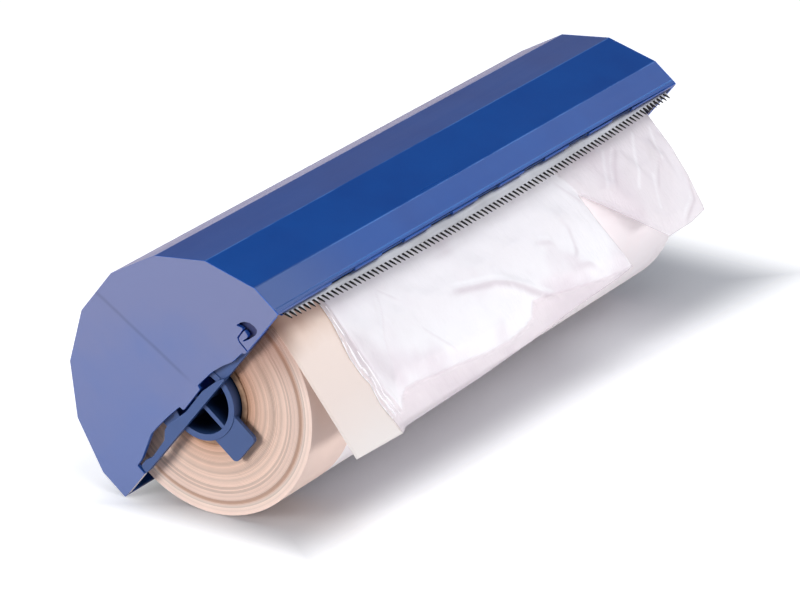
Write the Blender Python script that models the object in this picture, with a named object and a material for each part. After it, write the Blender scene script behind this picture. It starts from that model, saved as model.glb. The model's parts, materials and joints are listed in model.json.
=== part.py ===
"""Hand dispenser for a roll of pre-taped masking film.

A half-round, faceted cover carries a toothed cutter along its front edge. Two end plates close it.
A hub clips into the straight edge of each end plate, and the film roll turns on the two hubs.
The hubs and the roll draw out of the cover together when a new roll is fitted.

Every shape is drawn in the section frame: local X runs along the roll, local Y along the section's
straight side from the cutter edge to the back edge, and local Z from the roll axis to the crown.
One empty tilts that frame, so that the dispenser lies on its roll and on its back edge.
Lengths are in metres.
"""
import math

import bmesh
import bpy
from mathutils import Matrix, Vector

# Driving sizes
roll_width = 0.230
roll_radius = 0.0384
roll_space = 0.00718
section_sides = 16
edge_overhang = 0.00125
core_bore_radius = 0.0127
core_wall = 0.0020
tape_width = 0.025
roll_end_gap = 0.0013
seam_gap = 0.0003
cut_overrun = 0.0010
join_depth = 0.0002
weld_distance = 0.0001
round_sides = 40
corner_points = 5
smooth_angle = math.radians(40)

# Cover
cover_wall = 0.0015
lip_bead_height = 0.0020
lip_bead_stand = 0.0003
lip_notch_length = 0.0130
lip_notch_height = 0.0007
ledge_height = 0.0010
ledge_drop = 0.0008
clip_pitch = 0.0280

# End plates
plate_thickness = 0.0015
rim_thickness = 0.0012
rim_depth = 0.0030
rib_thickness = 0.0010
rib_depth = 0.0018
latch_slit = 0.0005

# Cutter and its retainer
blade_thickness = 0.0005
blade_end_gap = 0.0005
blade_stand = 0.0026
blade_bow = 0.0029
tooth_pitch = 0.0024
tooth_depth = 0.0025
tooth_rise_share = 0.60
tooth_tip_share = 0.68
tooth_foot_share = 0.76
retainer_thickness = 0.0011
retainer_chamfer = 0.0005
peg_radius = 0.0014
peg_height = 0.0026
peg_sides = 12
blade_back_margin = 0.0012

# Hubs
hub_length = 0.0280
hub_clearance = 0.0004
hub_wall = 0.0021
hub_stand = 0.0003
web_thickness = 0.0015
web_depth = 0.0090
web_setback = 0.0002
flange_margin = 0.0020
flange_thickness = 0.0016
bar_setback = 0.0002
tongue_width = 0.0119
tongue_reach = 0.0205
tongue_corner = 0.0016
flange_points = 19

# Roll
film_end_gap = 0.0072
winding_turns = 12
winding_gap = 0.00045
tail_thickness = 0.0004
telescope_depth = 0.0009
telescope_waves = 5
core_gap = 0.0003
turn_points = 36
tail_fill_points = 3

# Free end of the web
web_gap = 0.0003
web_thickness_drawn = 0.0004
web_free_angle = math.radians(13.5)
web_start_angle = math.radians(-9.0)
tape_shift = 0.0005
tape_free_length = 0.0400
film_free_length = 0.0386
film_flare = 0.0026
film_grid = 0.0054
sheet_smooth_angle = math.radians(60)

# Outlines in shares of the section radius: first along the straight side, then towards the crown
recess_shares = [
    (-0.605, -0.060), (-0.554, -0.005), (-0.446, 0.006), (-0.375, 0.035), (-0.269, 0.065),
    (-0.108, 0.081), (-0.100, 0.052), (0.118, 0.047), (0.122, 0.082), (0.240, 0.098),
    (0.351, 0.108), (0.453, 0.112), (0.500, 0.098), (0.580, 0.074), (0.660, 0.052),
    (0.722, 0.048), (0.726, -0.060),
]
latch_window_shares = [
    (-0.670, 0.140), (-0.716, 0.126), (-0.745, 0.108), (-0.768, 0.080), (-0.777, 0.044),
    (-0.774, 0.013), (-0.755, 0.002), (-0.732, 0.001), (-0.694, 0.010), (-0.660, 0.019),
    (-0.628, 0.034), (-0.636, 0.040), (-0.672, 0.031), (-0.687, 0.036), (-0.694, 0.063),
    (-0.692, 0.102),
]
latch_slit_shares = [
    (-0.599, -0.060), (-0.601, -0.018), (-0.604, 0.052), (-0.616, 0.076), (-0.674, 0.080),
    (-0.700, 0.082),
]
bar_shares = [
    (-0.318, -0.031), (-0.252, 0.003), (-0.100, 0.034), (0.118, 0.030), (0.200, 0.047),
    (0.300, 0.068), (0.352, 0.060), (0.410, 0.020), (0.580, 0.008), (0.640, 0.030),
    (0.705, 0.029), (0.712, -0.031),
]
latch_seat_shares = [(-0.790, 0.165), (-0.600, 0.165), (-0.560, 0.118)]
flange_back_share = 0.350
flange_top_share = 0.118
rib_top_share = 0.940
guide_top_share = 0.560

# Film outline: shares of the roll width from its left end, then shares of the film's free length from
# the line where it leaves the roll. The notch splits off the corner that flares out.
film_outline_shares = [
    (0.122, 1.000), (0.304, 0.995), (0.452, 0.969), (0.574, 0.933), (0.698, 0.912), (0.734, 0.894),
    (0.726, 0.674), (0.718, 0.440), (0.712, 0.246), (0.714, 0.140), (0.745, 0.288), (0.794, 0.549),
    (0.845, 0.845), (0.909, 0.842), (0.948, 0.811), (0.961, 0.479), (0.967, -0.135),
]
# Main folds of the film: start and end in the same shares, then width and height in shares of the
# free length. A fold is highest at its start.
film_fold_shares = [
    (0.116, -0.118, 0.145, 0.447, 0.071, 0.014), (0.145, 0.118, 0.162, 0.918, 0.094, 0.024),
    (0.197, -0.059, 0.270, 0.941, 0.106, 0.019), (0.250, 0.059, 0.417, 0.647, 0.094, 0.016),
    (0.375, -0.059, 0.510, 0.847, 0.129, 0.026), (0.490, 0.118, 0.615, 0.706, 0.094, 0.016),
    (0.583, -0.059, 0.709, 0.529, 0.082, 0.019), (0.761, -0.059, 0.803, 0.412, 0.071, 0.019),
    (0.844, -0.059, 0.876, 0.706, 0.082, 0.024), (0.917, 0.000, 0.930, 0.729, 0.071, 0.028),
]
fold_begin_share = -0.024
fold_full_share = 0.212
flare_begin_share = 0.688

# Sizes that follow from the ones above
half_step = math.pi / section_sides
roll_half = roll_width / 2
half_length = roll_half + roll_end_gap + flange_thickness + hub_stand + seam_gap + plate_thickness
blade_half = half_length - plate_thickness - rim_depth - blade_end_gap
inner_flat = roll_radius + roll_space
flat_radius = inner_flat + cover_wall
section_radius = flat_radius / math.cos(half_step)
hub_outer = core_bore_radius - hub_clearance
hub_inner = hub_outer - hub_wall


def clear_scene():
    """Start from an empty scene."""
    for old in list(bpy.data.objects):
        bpy.data.objects.remove(old)


def hex_colour(code):
    """Linear colour of an sRGB code."""
    parts = [int(code[i:i + 2], 16) / 255 for i in (1, 3, 5)]
    return [v / 12.92 if v <= 0.04045 else ((v + 0.055) / 1.055) ** 2.4 for v in parts] + [1]


def material(name, code, roughness, metallic=0.0):
    made = bpy.data.materials.new(name)
    made.use_nodes = True
    shader = made.node_tree.nodes["Principled BSDF"]
    shader.inputs["Base Color"].default_value = hex_colour(code)
    shader.inputs["Roughness"].default_value = roughness
    shader.inputs["Metallic"].default_value = metallic
    made.diffuse_color = hex_colour(code)
    return made


def add_object(name, shape, look=None, sharp_angle=None):
    """Turn a bmesh into an object of the section frame."""
    bmesh.ops.recalc_face_normals(shape, faces=shape.faces)
    mesh = bpy.data.meshes.new(name)
    shape.to_mesh(mesh)
    shape.free()
    made = bpy.data.objects.new(name, mesh)
    bpy.context.scene.collection.objects.link(made)
    made.parent = section_frame
    if look:
        mesh.materials.append(look)
    if sharp_angle:
        mesh.shade_smooth()
        mesh.set_sharp_from_angle(angle=sharp_angle)
    return made


def add_tool(name, shape):
    """A shape that only adds to or cuts from another one."""
    tool = add_object(name, shape)
    tool.hide_render = True
    tool.display_type = "WIRE"
    return tool


def combine(target, tool, operation):
    step = target.modifiers.new(f"{operation.lower()} {tool.name}", "BOOLEAN")
    step.operation = operation
    step.solver = "EXACT"
    step.object = tool


def prism(outline, x_from, x_to, shape=None):
    """A flat outline in the section plane, drawn out along the roll."""
    shape = shape or bmesh.new()
    corners = [shape.verts.new((x_from, y, z)) for y, z in outline]
    face = shape.faces.new(corners)
    drawn = bmesh.ops.extrude_face_region(shape, geom=[face])
    moved = [item for item in drawn["geom"] if isinstance(item, bmesh.types.BMVert)]
    bmesh.ops.translate(shape, verts=moved, vec=(x_to - x_from, 0, 0))
    return shape


def upright_prism(outline, y_from, y_to, holes=(), shape=None):
    """An outline in the plane of the cutter, with open holes, drawn out across it."""
    shape = shape or bmesh.new()
    rims = []
    for line in (outline, *holes):
        corners = [shape.verts.new((x, y_from, z)) for x, z in line]
        rims += [shape.edges.new((corners[k - 1], corners[k])) for k in range(len(corners))]
    filled = bmesh.ops.triangle_fill(shape, use_beauty=True, edges=rims)
    faces = [item for item in filled["geom"] if isinstance(item, bmesh.types.BMFace)]
    drawn = bmesh.ops.extrude_face_region(shape, geom=faces)
    moved = [item for item in drawn["geom"] if isinstance(item, bmesh.types.BMVert)]
    bmesh.ops.translate(shape, verts=moved, vec=(0, y_to - y_from, 0))
    return shape


def box(low, high, shape=None):
    shape = shape or bmesh.new()
    made = bmesh.ops.create_cube(shape, size=1)
    size = [b - a for a, b in zip(low, high)]
    middle = [(a + b) / 2 for a, b in zip(low, high)]
    bmesh.ops.scale(shape, verts=made["verts"], vec=size)
    bmesh.ops.translate(shape, verts=made["verts"], vec=middle)
    return shape


def circle(centre, radius, sides):
    """Corners of a regular polygon round a centre."""
    angles = [2 * math.pi * k / sides for k in range(sides)]
    return [(centre[0] + radius * math.cos(t), centre[1] + radius * math.sin(t)) for t in angles]


def turned(profile, sides):
    """A closed profile of (x, radius) points spun about the roll axis."""
    shape = bmesh.new()
    ring = [shape.verts.new((x, radius, 0)) for x, radius in profile]
    edges = [shape.edges.new((ring[k - 1], ring[k])) for k in range(len(ring))]
    bmesh.ops.spin(shape, geom=ring + edges, cent=(0, 0, 0), axis=(1, 0, 0), angle=2 * math.pi,
                   steps=sides, use_merge=True)
    return shape


def shares(table):
    return [(section_radius * y, section_radius * z) for y, z in table]


def section_outline(flat, overhang):
    """Half of a regular polygon, back edge first, with straight ends past the diameter."""
    radius = flat / math.cos(half_step)
    arc = [(radius * math.cos(half_step * (2 * k + 1)), radius * math.sin(half_step * (2 * k + 1)))
           for k in range(section_sides // 2)]
    return [(flat, -overhang)] + arc + [(-flat, -overhang)]


def clip_places():
    """Places of the pegs along the roll, spaced evenly about the middle."""
    count = int(roll_width / clip_pitch)
    return [clip_pitch * (k - (count - 1) / 2) for k in range(count)]


def make_cover(look):
    """One drawn profile: facets, lip bead along the cutter edge and the ledge over the retainer."""
    outer = section_outline(flat_radius, edge_overhang)[:-1]
    bead_top = lip_bead_height - edge_overhang
    outer += [(-flat_radius, bead_top), (-flat_radius - lip_bead_stand, bead_top - lip_bead_stand),
              (-flat_radius - lip_bead_stand, -edge_overhang)]
    inner = section_outline(inner_flat, edge_overhang)
    ledge_top = inner[-2][1] - ledge_drop
    ledge_in = inner_flat - seam_gap - blade_thickness - seam_gap - retainer_thickness
    ledge = [(-inner_flat, ledge_top), (-ledge_in, ledge_top), (-ledge_in, ledge_top - ledge_height),
             (-inner_flat, ledge_top - ledge_height)]
    inner = inner[:-1] + ledge + inner[-1:]
    reach = half_length - plate_thickness - seam_gap
    cover = add_object("cover_shell", prism(outer + inner[::-1], -reach, reach), look)

    notches = bmesh.new()
    for x in clip_places()[1:]:
        middle = x - clip_pitch / 2
        box((middle - lip_notch_length / 2, -flat_radius - lip_bead_stand - cut_overrun,
             -edge_overhang - cut_overrun),
            (middle + lip_notch_length / 2, -inner_flat + seam_gap, -edge_overhang + lip_notch_height),
            notches)
    combine(cover, add_tool("lip_notches", notches), "DIFFERENCE")
    return ledge_top - ledge_height


def tooth_tip(x):
    """Height of the tooth tips, which lie on a shallow bow that is lowest at the middle."""
    return -edge_overhang - blade_stand - blade_bow * (1 - (x / blade_half) ** 2)


def tooth_root(x):
    """Height of the notches between the teeth, on the same bow."""
    return tooth_tip(x) + tooth_depth


def make_cutter(ledge_bottom, steel, plastic):
    """Toothed strip inside the lip, and the pegged strip that holds it there."""
    face_out = inner_flat - seam_gap
    face_in = face_out - blade_thickness
    back = ledge_bottom - seam_gap - blade_back_margin
    count = round(2 * blade_half / tooth_pitch)
    pitch = 2 * blade_half / count
    outline = [(blade_half, back), (-blade_half, back)]
    for k in range(count):
        start = pitch * k - blade_half
        outline += [(start, tooth_root(start)), (start + pitch * tooth_rise_share, tooth_tip(start)),
                    (start + pitch * tooth_tip_share, tooth_tip(start)),
                    (start + pitch * tooth_foot_share, tooth_root(start))]
    outline.append((blade_half, tooth_root(blade_half)))
    holes = [circle((x, peg_height), peg_radius + seam_gap, peg_sides) for x in clip_places()]
    add_object("cutter_blade", upright_prism(outline, -face_out, -face_in, holes), steel)

    leg_out = face_in - seam_gap
    leg_in = leg_out - retainer_thickness
    low = -edge_overhang
    strip = [(-leg_out, low), (-leg_out, ledge_bottom - seam_gap), (-leg_in, ledge_bottom - seam_gap),
             (-leg_in, low + retainer_chamfer), (-leg_in - retainer_chamfer, low)]
    retainer = add_object("blade_retainer", prism(strip, -blade_half, blade_half), plastic)
    pegs = bmesh.new()
    for x in clip_places():
        upright_prism(circle((x, peg_height), peg_radius, peg_sides), -face_out, join_depth - leg_out,
                      shape=pegs)
    combine(retainer, add_tool("retainer_pegs", pegs), "UNION")


def at_depth(side, depth):
    """Place along the roll at a depth behind the outer face of one end plate."""
    return side * (half_length - depth)


def make_end_plate(name, side, look):
    """Flat plate with the hub recess and latch window, a locating rim and ribs on its inner face."""
    outline = section_outline(flat_radius, edge_overhang)
    outer, inner = at_depth(side, 0), at_depth(side, plate_thickness)
    plate = add_object(name, prism(outline, outer, inner), look)

    cut_from, cut_to = at_depth(side, -cut_overrun), at_depth(side, plate_thickness + cut_overrun)
    windows = prism(shares(recess_shares), cut_from, cut_to)
    prism(shares(latch_window_shares), cut_from, cut_to, windows)
    combine(plate, add_tool(f"{name}_windows", windows), "DIFFERENCE")
    slit = prism(band(shares(latch_slit_shares), latch_slit), cut_from, cut_to)
    combine(plate, add_tool(f"{name}_slit", slit), "DIFFERENCE")

    seat = at_depth(side, plate_thickness - join_depth)
    rim_out = section_outline(inner_flat - seam_gap, 0)[1:-1]
    rim_in = section_outline(inner_flat - seam_gap - rim_thickness, 0)[1:-1]
    rim = prism(rim_out + rim_in[::-1], seat, at_depth(side, plate_thickness + rim_depth))
    combine(plate, add_tool(f"{name}_rim", rim), "UNION")

    rib_end = at_depth(side, plate_thickness + rib_depth)
    half = rib_thickness / 2
    hub_edge = hub_outer + flange_margin + seam_gap
    crown = section_radius * rib_top_share
    ribs = box((min(seat, rib_end), -half, hub_edge), (max(seat, rib_end), half, crown))
    guide_low = section_radius * flange_top_share + seam_gap
    for y in (-hub_edge - rib_thickness, hub_edge):
        box((min(seat, rib_end), y, guide_low),
            (max(seat, rib_end), y + rib_thickness, section_radius * guide_top_share), ribs)
    combine(plate, add_tool(f"{name}_ribs", ribs), "UNION")


def band(line, width):
    """A narrow strip along a line of points, as one closed outline."""
    left, right = [], []
    for k, point in enumerate(line):
        before, after = line[max(k - 1, 0)], line[min(k + 1, len(line) - 1)]
        along = Vector((after[0] - before[0], after[1] - before[1])).normalized()
        side = Vector((-along.y, along.x)) * width / 2
        left.append((point[0] + side.x, point[1] + side.y))
        right.append((point[0] - side.x, point[1] - side.y))
    return left + right[::-1]


def arc_points(centre, radius, start, end, count):
    """Points on an arc in the section plane, both ends included."""
    angles = [start + (end - start) * k / (count - 1) for k in range(count)]
    return [(centre[0] + radius * math.cos(t), centre[1] + radius * math.sin(t)) for t in angles]


def make_hub(name, side, look):
    """Hub moulding: webbed tube, flange with a seat for the latch, bar in the recess and finger tongue."""
    front = plate_thickness + seam_gap
    flat = front + hub_stand
    flat_back = flat + flange_thickness
    flange_radius = hub_outer + flange_margin
    top = section_radius * flange_top_share
    lean = math.asin(top / flange_radius)
    seat = shares(latch_seat_shares)
    outline = [(seat[0][0], -edge_overhang)] + seat
    outline += arc_points((0, 0), flange_radius, math.pi - lean, lean, flange_points)
    outline += [(section_radius * flange_back_share, top),
                (section_radius * flange_back_share, -edge_overhang)]
    hub = add_object(name, prism(outline, at_depth(side, flat), at_depth(side, flat_back)), look)

    ring = circle((0, 0), hub_outer, round_sides)
    tube = prism(ring, at_depth(side, front), at_depth(side, hub_length))
    combine(hub, add_tool(f"{name}_tube", tube), "UNION")
    ring = circle((0, 0), hub_inner, round_sides)
    bore = prism(ring, at_depth(side, front - cut_overrun), at_depth(side, hub_length + cut_overrun))
    combine(hub, add_tool(f"{name}_bore", bore), "DIFFERENCE")

    half = web_thickness / 2
    span = hub_inner + join_depth
    cross = []
    for quarter in range(4):
        turn = Matrix.Rotation(quarter * math.pi / 2, 2)
        cross += [tuple(turn @ Vector(corner)) for corner in ((half, half), (half, span), (-half, span))]
    webs = prism(cross, at_depth(side, front + web_setback), at_depth(side, front + web_depth))
    combine(hub, add_tool(f"{name}_webs", webs), "UNION")

    wide = tongue_width / 2
    start = math.sqrt(hub_outer ** 2 - wide ** 2) - join_depth
    inset, low = wide - tongue_corner, tongue_corner - tongue_reach
    tongue = [(-wide, -start), (wide, -start)]
    tongue += arc_points((inset, low), tongue_corner, 0, -math.pi / 2, corner_points)
    tongue += arc_points((-inset, low), tongue_corner, -math.pi / 2, -math.pi, corner_points)
    tongue = prism(tongue, at_depth(side, flat), at_depth(side, flat_back))
    combine(hub, add_tool(f"{name}_tongue", tongue), "UNION")

    bar = prism(shares(bar_shares), at_depth(side, bar_setback), at_depth(side, flat + join_depth))
    combine(hub, add_tool(f"{name}_bar", bar), "UNION")
    return hub


def spiral(x_left, x_right, telescoped):
    """One unbroken wound strip, from the core to its tail, with a gap between turns.

    The last turn fills out to the roll radius, and one of its flats lies straight down on the floor.
    """
    inner_start = core_bore_radius + core_wall + core_gap
    tail_inner = roll_radius - tail_thickness
    pitch = (tail_inner - inner_start) / winding_turns
    strip = pitch - winding_gap
    step = 2 * math.pi / turn_points
    down = tilt - math.pi / 2
    tail = down + step * (round((math.pi + web_free_angle - down) / step - 0.5) + 0.5)
    count = winding_turns * turn_points
    shape = bmesh.new()
    rings, insides, outsides = [], [], []
    for k in range(count + 1):
        angle = tail - step * (count - k)
        low = inner_start + pitch * k / turn_points
        filled = min(max(k - count + turn_points, 0) / tail_fill_points, 1)
        high = low + strip + (roll_radius - low - strip) * filled
        share = (low - inner_start) / (tail_inner - inner_start)
        wave = math.sin(telescope_waves * math.pi * share) * math.sin(math.pi * share)
        shift = telescope_depth * (1 + wave) / 2 if telescoped else 0
        across = (math.cos(angle), math.sin(angle))
        edges = [(x_left + shift, low), (x_left + shift, high), (x_right, high), (x_right, low)]
        rings.append([shape.verts.new((x, r * across[0], r * across[1])) for x, r in edges])
        insides.append(low)
        outsides.append(high)
    for one, two in zip(rings, rings[1:]):
        for j in range(4):
            shape.faces.new((one[j - 1], one[j], two[j], two[j - 1]))
    shape.faces.new(rings[0])
    shape.faces.new(rings[-1][::-1])
    least = min(insides[k + turn_points] - outsides[k] for k in range(count + 1 - turn_points))
    return shape, least * math.cos(step / 2)


def make_roll(card, tape, film):
    """Core tube and the two wound parts: paper tape at the left end, film on the rest."""
    core_outer = core_bore_radius + core_wall
    tube = turned([(-roll_half, core_bore_radius), (roll_half, core_bore_radius),
                   (roll_half, core_outer), (-roll_half, core_outer)], round_sides)
    add_object("core_tube", tube, card, smooth_angle)
    seam = -roll_half + tape_width
    shape, least = spiral(-roll_half, seam, True)
    add_object("tape_winding", shape, tape, smooth_angle)
    print(f"least gap between turns of the tape {least * 1000:.2f} mm")
    shape, least = spiral(seam + seam_gap, roll_half - film_end_gap, False)
    add_object("film_winding", shape, film, smooth_angle)
    print(f"least gap between turns of the film {least * 1000:.2f} mm")


def web_point(x, s, lift):
    """Point of the web: round the roll while s is negative, then straight down its tangent."""
    radius = roll_radius + web_gap
    angle = web_free_angle + min(s, 0) / radius
    out = Vector((0, -math.cos(angle), -math.sin(angle)))
    down = Vector((0, math.sin(angle), -math.cos(angle)))
    return Vector((x, 0, 0)) + out * (radius + lift) + down * max(s, 0)


def web_sheet(outline, columns, rows, lift):
    """Cut a flat outline into a grid, then bend it onto the web's path."""
    shape = bmesh.new()
    shape.faces.new([shape.verts.new((x, s, 0)) for x, s in outline])
    for axis, places in ((0, columns), (1, rows)):
        normal = (1, 0, 0) if axis == 0 else (0, 1, 0)
        for place in places:
            where = tuple(place * n for n in normal)
            everything = shape.verts[:] + shape.edges[:] + shape.faces[:]
            bmesh.ops.bisect_plane(shape, geom=everything, plane_co=where, plane_no=normal)
    bmesh.ops.remove_doubles(shape, verts=shape.verts, dist=weld_distance)
    flat = {vert: (vert.co.x, vert.co.y) for vert in shape.verts}
    for vert, (x, s) in flat.items():
        vert.co = web_point(x, s, lift(x, s))
    return shape


def steps_between(low, high, size):
    """Even steps inside a range, none larger than a size."""
    count = max(1, math.ceil((high - low) / size))
    return [low + (high - low) * k / count for k in range(1, count)]


def film_lift(x, s):
    """Height of the folds over the smooth web, and the flare of its far corner."""
    here = Vector((x + roll_half, s))
    share_s = s / film_free_length
    fade = min(max((share_s - fold_begin_share) / (fold_full_share - fold_begin_share), 0), 1)
    height = 0
    for x0, s0, x1, s1, width, tall in film_fold_shares:
        start = Vector((x0 * roll_width, s0 * film_free_length))
        run = Vector((x1 * roll_width, s1 * film_free_length)) - start
        along = min(max((here - start).dot(run) / run.length_squared, 0), 1)
        distance = (here - start - run * along).length / (width * film_free_length)
        height += tall * film_free_length * math.exp(-distance ** 2) * math.cos(math.pi / 2 * along)
    to_corner = max((here.x / roll_width - flare_begin_share) / (1 - flare_begin_share), 0)
    return fade * height + film_flare * max(share_s, 0) ** 2 * to_corner


def make_free_web(tape, film):
    """Loose end of the roll: a strip of paper tape and the film stuck to it."""
    top = (web_start_angle - web_free_angle) * (roll_radius + web_gap)
    left = -roll_half - tape_shift
    right = left + tape_width
    rows = steps_between(top, 0, film_grid / 2) + [0] + steps_between(0, tape_free_length, film_grid)
    outline = [(left, top), (left, tape_free_length), (right, tape_free_length), (right, top)]
    strip = web_sheet(outline, steps_between(left, right, film_grid * 2), rows, lambda x, s: 0)
    add_sheet("free_tape", strip, tape)

    outline = [(x * roll_width - roll_half, s * film_free_length) for x, s in film_outline_shares]
    outline[0] = (right + seam_gap, outline[0][1])
    outline = [(right + seam_gap, top)] + outline + [(outline[-1][0], top)]
    low = max(s for x, s in outline)
    rows = steps_between(top, 0, film_grid / 2) + [0] + steps_between(0, low, film_grid)
    columns = steps_between(outline[0][0], outline[-1][0], film_grid)
    add_sheet("free_film", web_sheet(outline, columns, rows, film_lift), film)


def add_sheet(name, shape, look):
    """Give a bent sheet its thickness on the side away from the roll."""
    sheet = add_object(name, shape, look, sheet_smooth_angle)
    away = Vector((0, -1, 0))
    if sheet.data.polygons[0].normal.dot(away) < 0:
        sheet.data.flip_normals()
    skin = sheet.modifiers.new("thickness", "SOLIDIFY")
    skin.thickness = web_thickness_drawn
    skin.offset = 1
    skin.use_even_offset = False


def place_on_floor():
    """Tilt the section frame, then centre the whole over the origin with its lowest point at zero."""
    section_frame.rotation_euler = (-tilt, 0, 0)
    bpy.context.view_layer.update()
    graph = bpy.context.evaluated_depsgraph_get()
    low = Vector((math.inf, math.inf, math.inf))
    high = -low
    for thing in bpy.context.scene.objects:
        if thing.type != "MESH" or thing.hide_render:
            continue
        seen = thing.evaluated_get(graph)
        for vert in seen.data.vertices:
            place = seen.matrix_world @ vert.co
            low = Vector(map(min, low, place))
            high = Vector(map(max, high, place))
    section_frame.location = (-(low.x + high.x) / 2, -(low.y + high.y) / 2, -low.z)
    bpy.context.view_layer.update()


# The back edge of cover and plates and the flat under the roll touch the same floor
rest_height = roll_radius * math.cos(math.pi / turn_points)
back_reach = math.hypot(flat_radius, edge_overhang)
tilt = math.asin(rest_height / back_reach) - math.atan2(edge_overhang, flat_radius)

clear_scene()
section_frame = bpy.data.objects.new("section_frame", None)
bpy.context.scene.collection.objects.link(section_frame)

blue_plastic = material("blue_plastic", "#2A55A8", 0.35)
plate_plastic = material("plate_plastic", "#6E7DB8", 0.45)
hub_plastic = material("hub_plastic", "#3F58A0", 0.42)
cutter_steel = material("cutter_steel", "#B4B8B6", 0.30, 1.0)
grey_card = material("grey_card", "#B79C7E", 0.85)
paper_tape = material("paper_tape", "#E2C9A8", 0.75)
clear_film = material("clear_film", "#F0EAEA", 0.30)

ledge_bottom = make_cover(blue_plastic)
make_cutter(ledge_bottom, cutter_steel, blue_plastic)
for plate_name, hub_name, end in (("left_end_plate", "left_hub", -1), ("right_end_plate", "right_hub", 1)):
    make_end_plate(plate_name, end, plate_plastic)
    make_hub(hub_name, end, hub_plastic)
make_roll(grey_card, paper_tape, clear_film)
make_free_web(paper_tape, clear_film)
place_on_floor()

axis = section_frame.matrix_world
release = axis.to_3x3() @ Vector((0, 0, -1))
crown = axis @ Vector((0, 0, flat_radius))
print("roll axis at", [round(v, 6) for v in axis.translation], "tilt", round(math.degrees(tilt), 4))
print("release direction", [round(v, 6) for v in release])
print("crown facet at", [round(v, 6) for v in crown])
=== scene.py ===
# %% [markdown]
# # Hand dispenser for pre-taped masking film
#
# A painter's dispenser: a half-round moulded cover with flat facets, a toothed steel cutter under its
# front lip, two end plates, and a part-used roll of paper tape and folded film that turns on two hubs.
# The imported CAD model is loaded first. It gives the place of every piece and what moves with what.

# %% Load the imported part
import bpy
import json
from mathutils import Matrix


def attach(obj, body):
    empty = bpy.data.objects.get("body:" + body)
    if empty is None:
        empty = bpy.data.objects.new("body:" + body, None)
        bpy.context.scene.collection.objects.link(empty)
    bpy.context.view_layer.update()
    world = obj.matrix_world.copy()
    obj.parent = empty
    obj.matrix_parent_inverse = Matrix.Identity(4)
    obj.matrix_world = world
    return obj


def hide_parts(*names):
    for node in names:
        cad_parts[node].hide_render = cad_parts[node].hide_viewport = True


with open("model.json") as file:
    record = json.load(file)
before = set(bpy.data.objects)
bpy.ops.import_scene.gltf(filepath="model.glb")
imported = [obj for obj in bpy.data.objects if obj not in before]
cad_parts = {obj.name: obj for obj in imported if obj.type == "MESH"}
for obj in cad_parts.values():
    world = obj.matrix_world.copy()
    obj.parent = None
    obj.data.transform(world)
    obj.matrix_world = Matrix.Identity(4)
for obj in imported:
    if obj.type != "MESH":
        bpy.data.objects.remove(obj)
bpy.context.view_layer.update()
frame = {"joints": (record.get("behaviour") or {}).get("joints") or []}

# %% Tools of this lesson
import json
import math

import bmesh
import bpy
import numpy as np
from mathutils import Matrix, Vector

mm = 0.001

# %% [markdown]
# ## The section frame
#
# The dispenser is a drawn-out section, and it lies tilted on its roll and its back edge. So each piece is
# drawn in its own section frame: X along the roll, Y from the cutter edge to the back edge, and Z from the
# roll axis to the crown of the cover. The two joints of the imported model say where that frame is.

# %% Section frame from the joints
joints = {joint["name"]: joint for joint in frame["joints"]}
crown_way = -Vector(joints["hub_release"]["axis"])
along_roll = Vector((1, 0, 0))
back_way = crown_way.cross(along_roll)
section = Matrix.Translation(joints["roll_spin"]["pos_m"]) @ Matrix(
    (along_roll, back_way, crown_way)).transposed().to_4x4()
tilt = math.acos(crown_way.z)
print("roll axis", [round(v, 4) for v in section.translation], "tilt", round(math.degrees(tilt), 2))

# %% [markdown]
# ## Sizes
#
# These are the sizes of the CAD model, in millimetres. The standard core of such rolls, 25.4 mm inside,
# sets the scale of all the others.

# %% Sizes in one place
roll_half = 115 * mm
roll_radius = 38.4 * mm
tape_width = 25 * mm
core_bore = 12.7 * mm
core_wall = 2 * mm
inner_flat = 45.58 * mm
cover_wall = 1.5 * mm
edge_overhang = 1.25 * mm
bead_height, bead_stand = 2.0 * mm, 0.3 * mm
plate_thickness = 1.5 * mm
half_length = 120 * mm
half_step = math.pi / 16
flat_radius = inner_flat + cover_wall
section_radius = flat_radius / math.cos(half_step)
seam_gap = 0.3 * mm
hub_outer = 12.3 * mm
hub_inner = 10.2 * mm
blade_half = 115 * mm
lying_height = 85 * mm
film_end = roll_half - 7.2 * mm
tape_left = -roll_half - 0.5 * mm


def shares(table):
    """Outline given in shares of the section radius."""
    return [(section_radius * y, section_radius * z) for y, z in table]


print("section radius", round(section_radius / mm, 2), "mm, length", 2 * half_length / mm, "mm")

# %% [markdown]
# ## Small helpers
#
# A moulded or cut part never has knife edges. One helper turns each corner of an outline into a short
# curve, one draws the outline out along the roll, and one rounds the remaining rims with a narrow bevel,
# whose weighted normals keep the big flats flat and let only the rim catch the light.


# %% Outlines
def rounded(outline, radius, steps=3):
    """Turn each corner of a closed outline into a short curve of about the given radius."""
    made = []
    for k, corner in enumerate(outline):
        here = Vector(corner)
        back = Vector(outline[k - 1]) - here
        on = Vector(outline[(k + 1) % len(outline)]) - here
        turn = math.pi - back.angle(on)
        cut = min(radius * math.tan(turn / 2), 0.45 * back.length, 0.45 * on.length)
        start, end = here + back.normalized() * cut, here + on.normalized() * cut
        for j in range(steps + 1):
            t = j / steps
            made.append(tuple((1 - t) ** 2 * start + 2 * t * (1 - t) * here + t ** 2 * end))
    return made


def arc_points(centre, radius, start, end, count):
    angles = [start + (end - start) * k / (count - 1) for k in range(count)]
    return [(centre[0] + radius * math.cos(t), centre[1] + radius * math.sin(t)) for t in angles]


def circle(centre, radius, sides):
    return arc_points(centre, radius, 0, 2 * math.pi, sides + 1)[:-1]


print("a square with rounded corners has", len(rounded(circle((0, 0), hub_outer, 4), core_wall)), "points")


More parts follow.
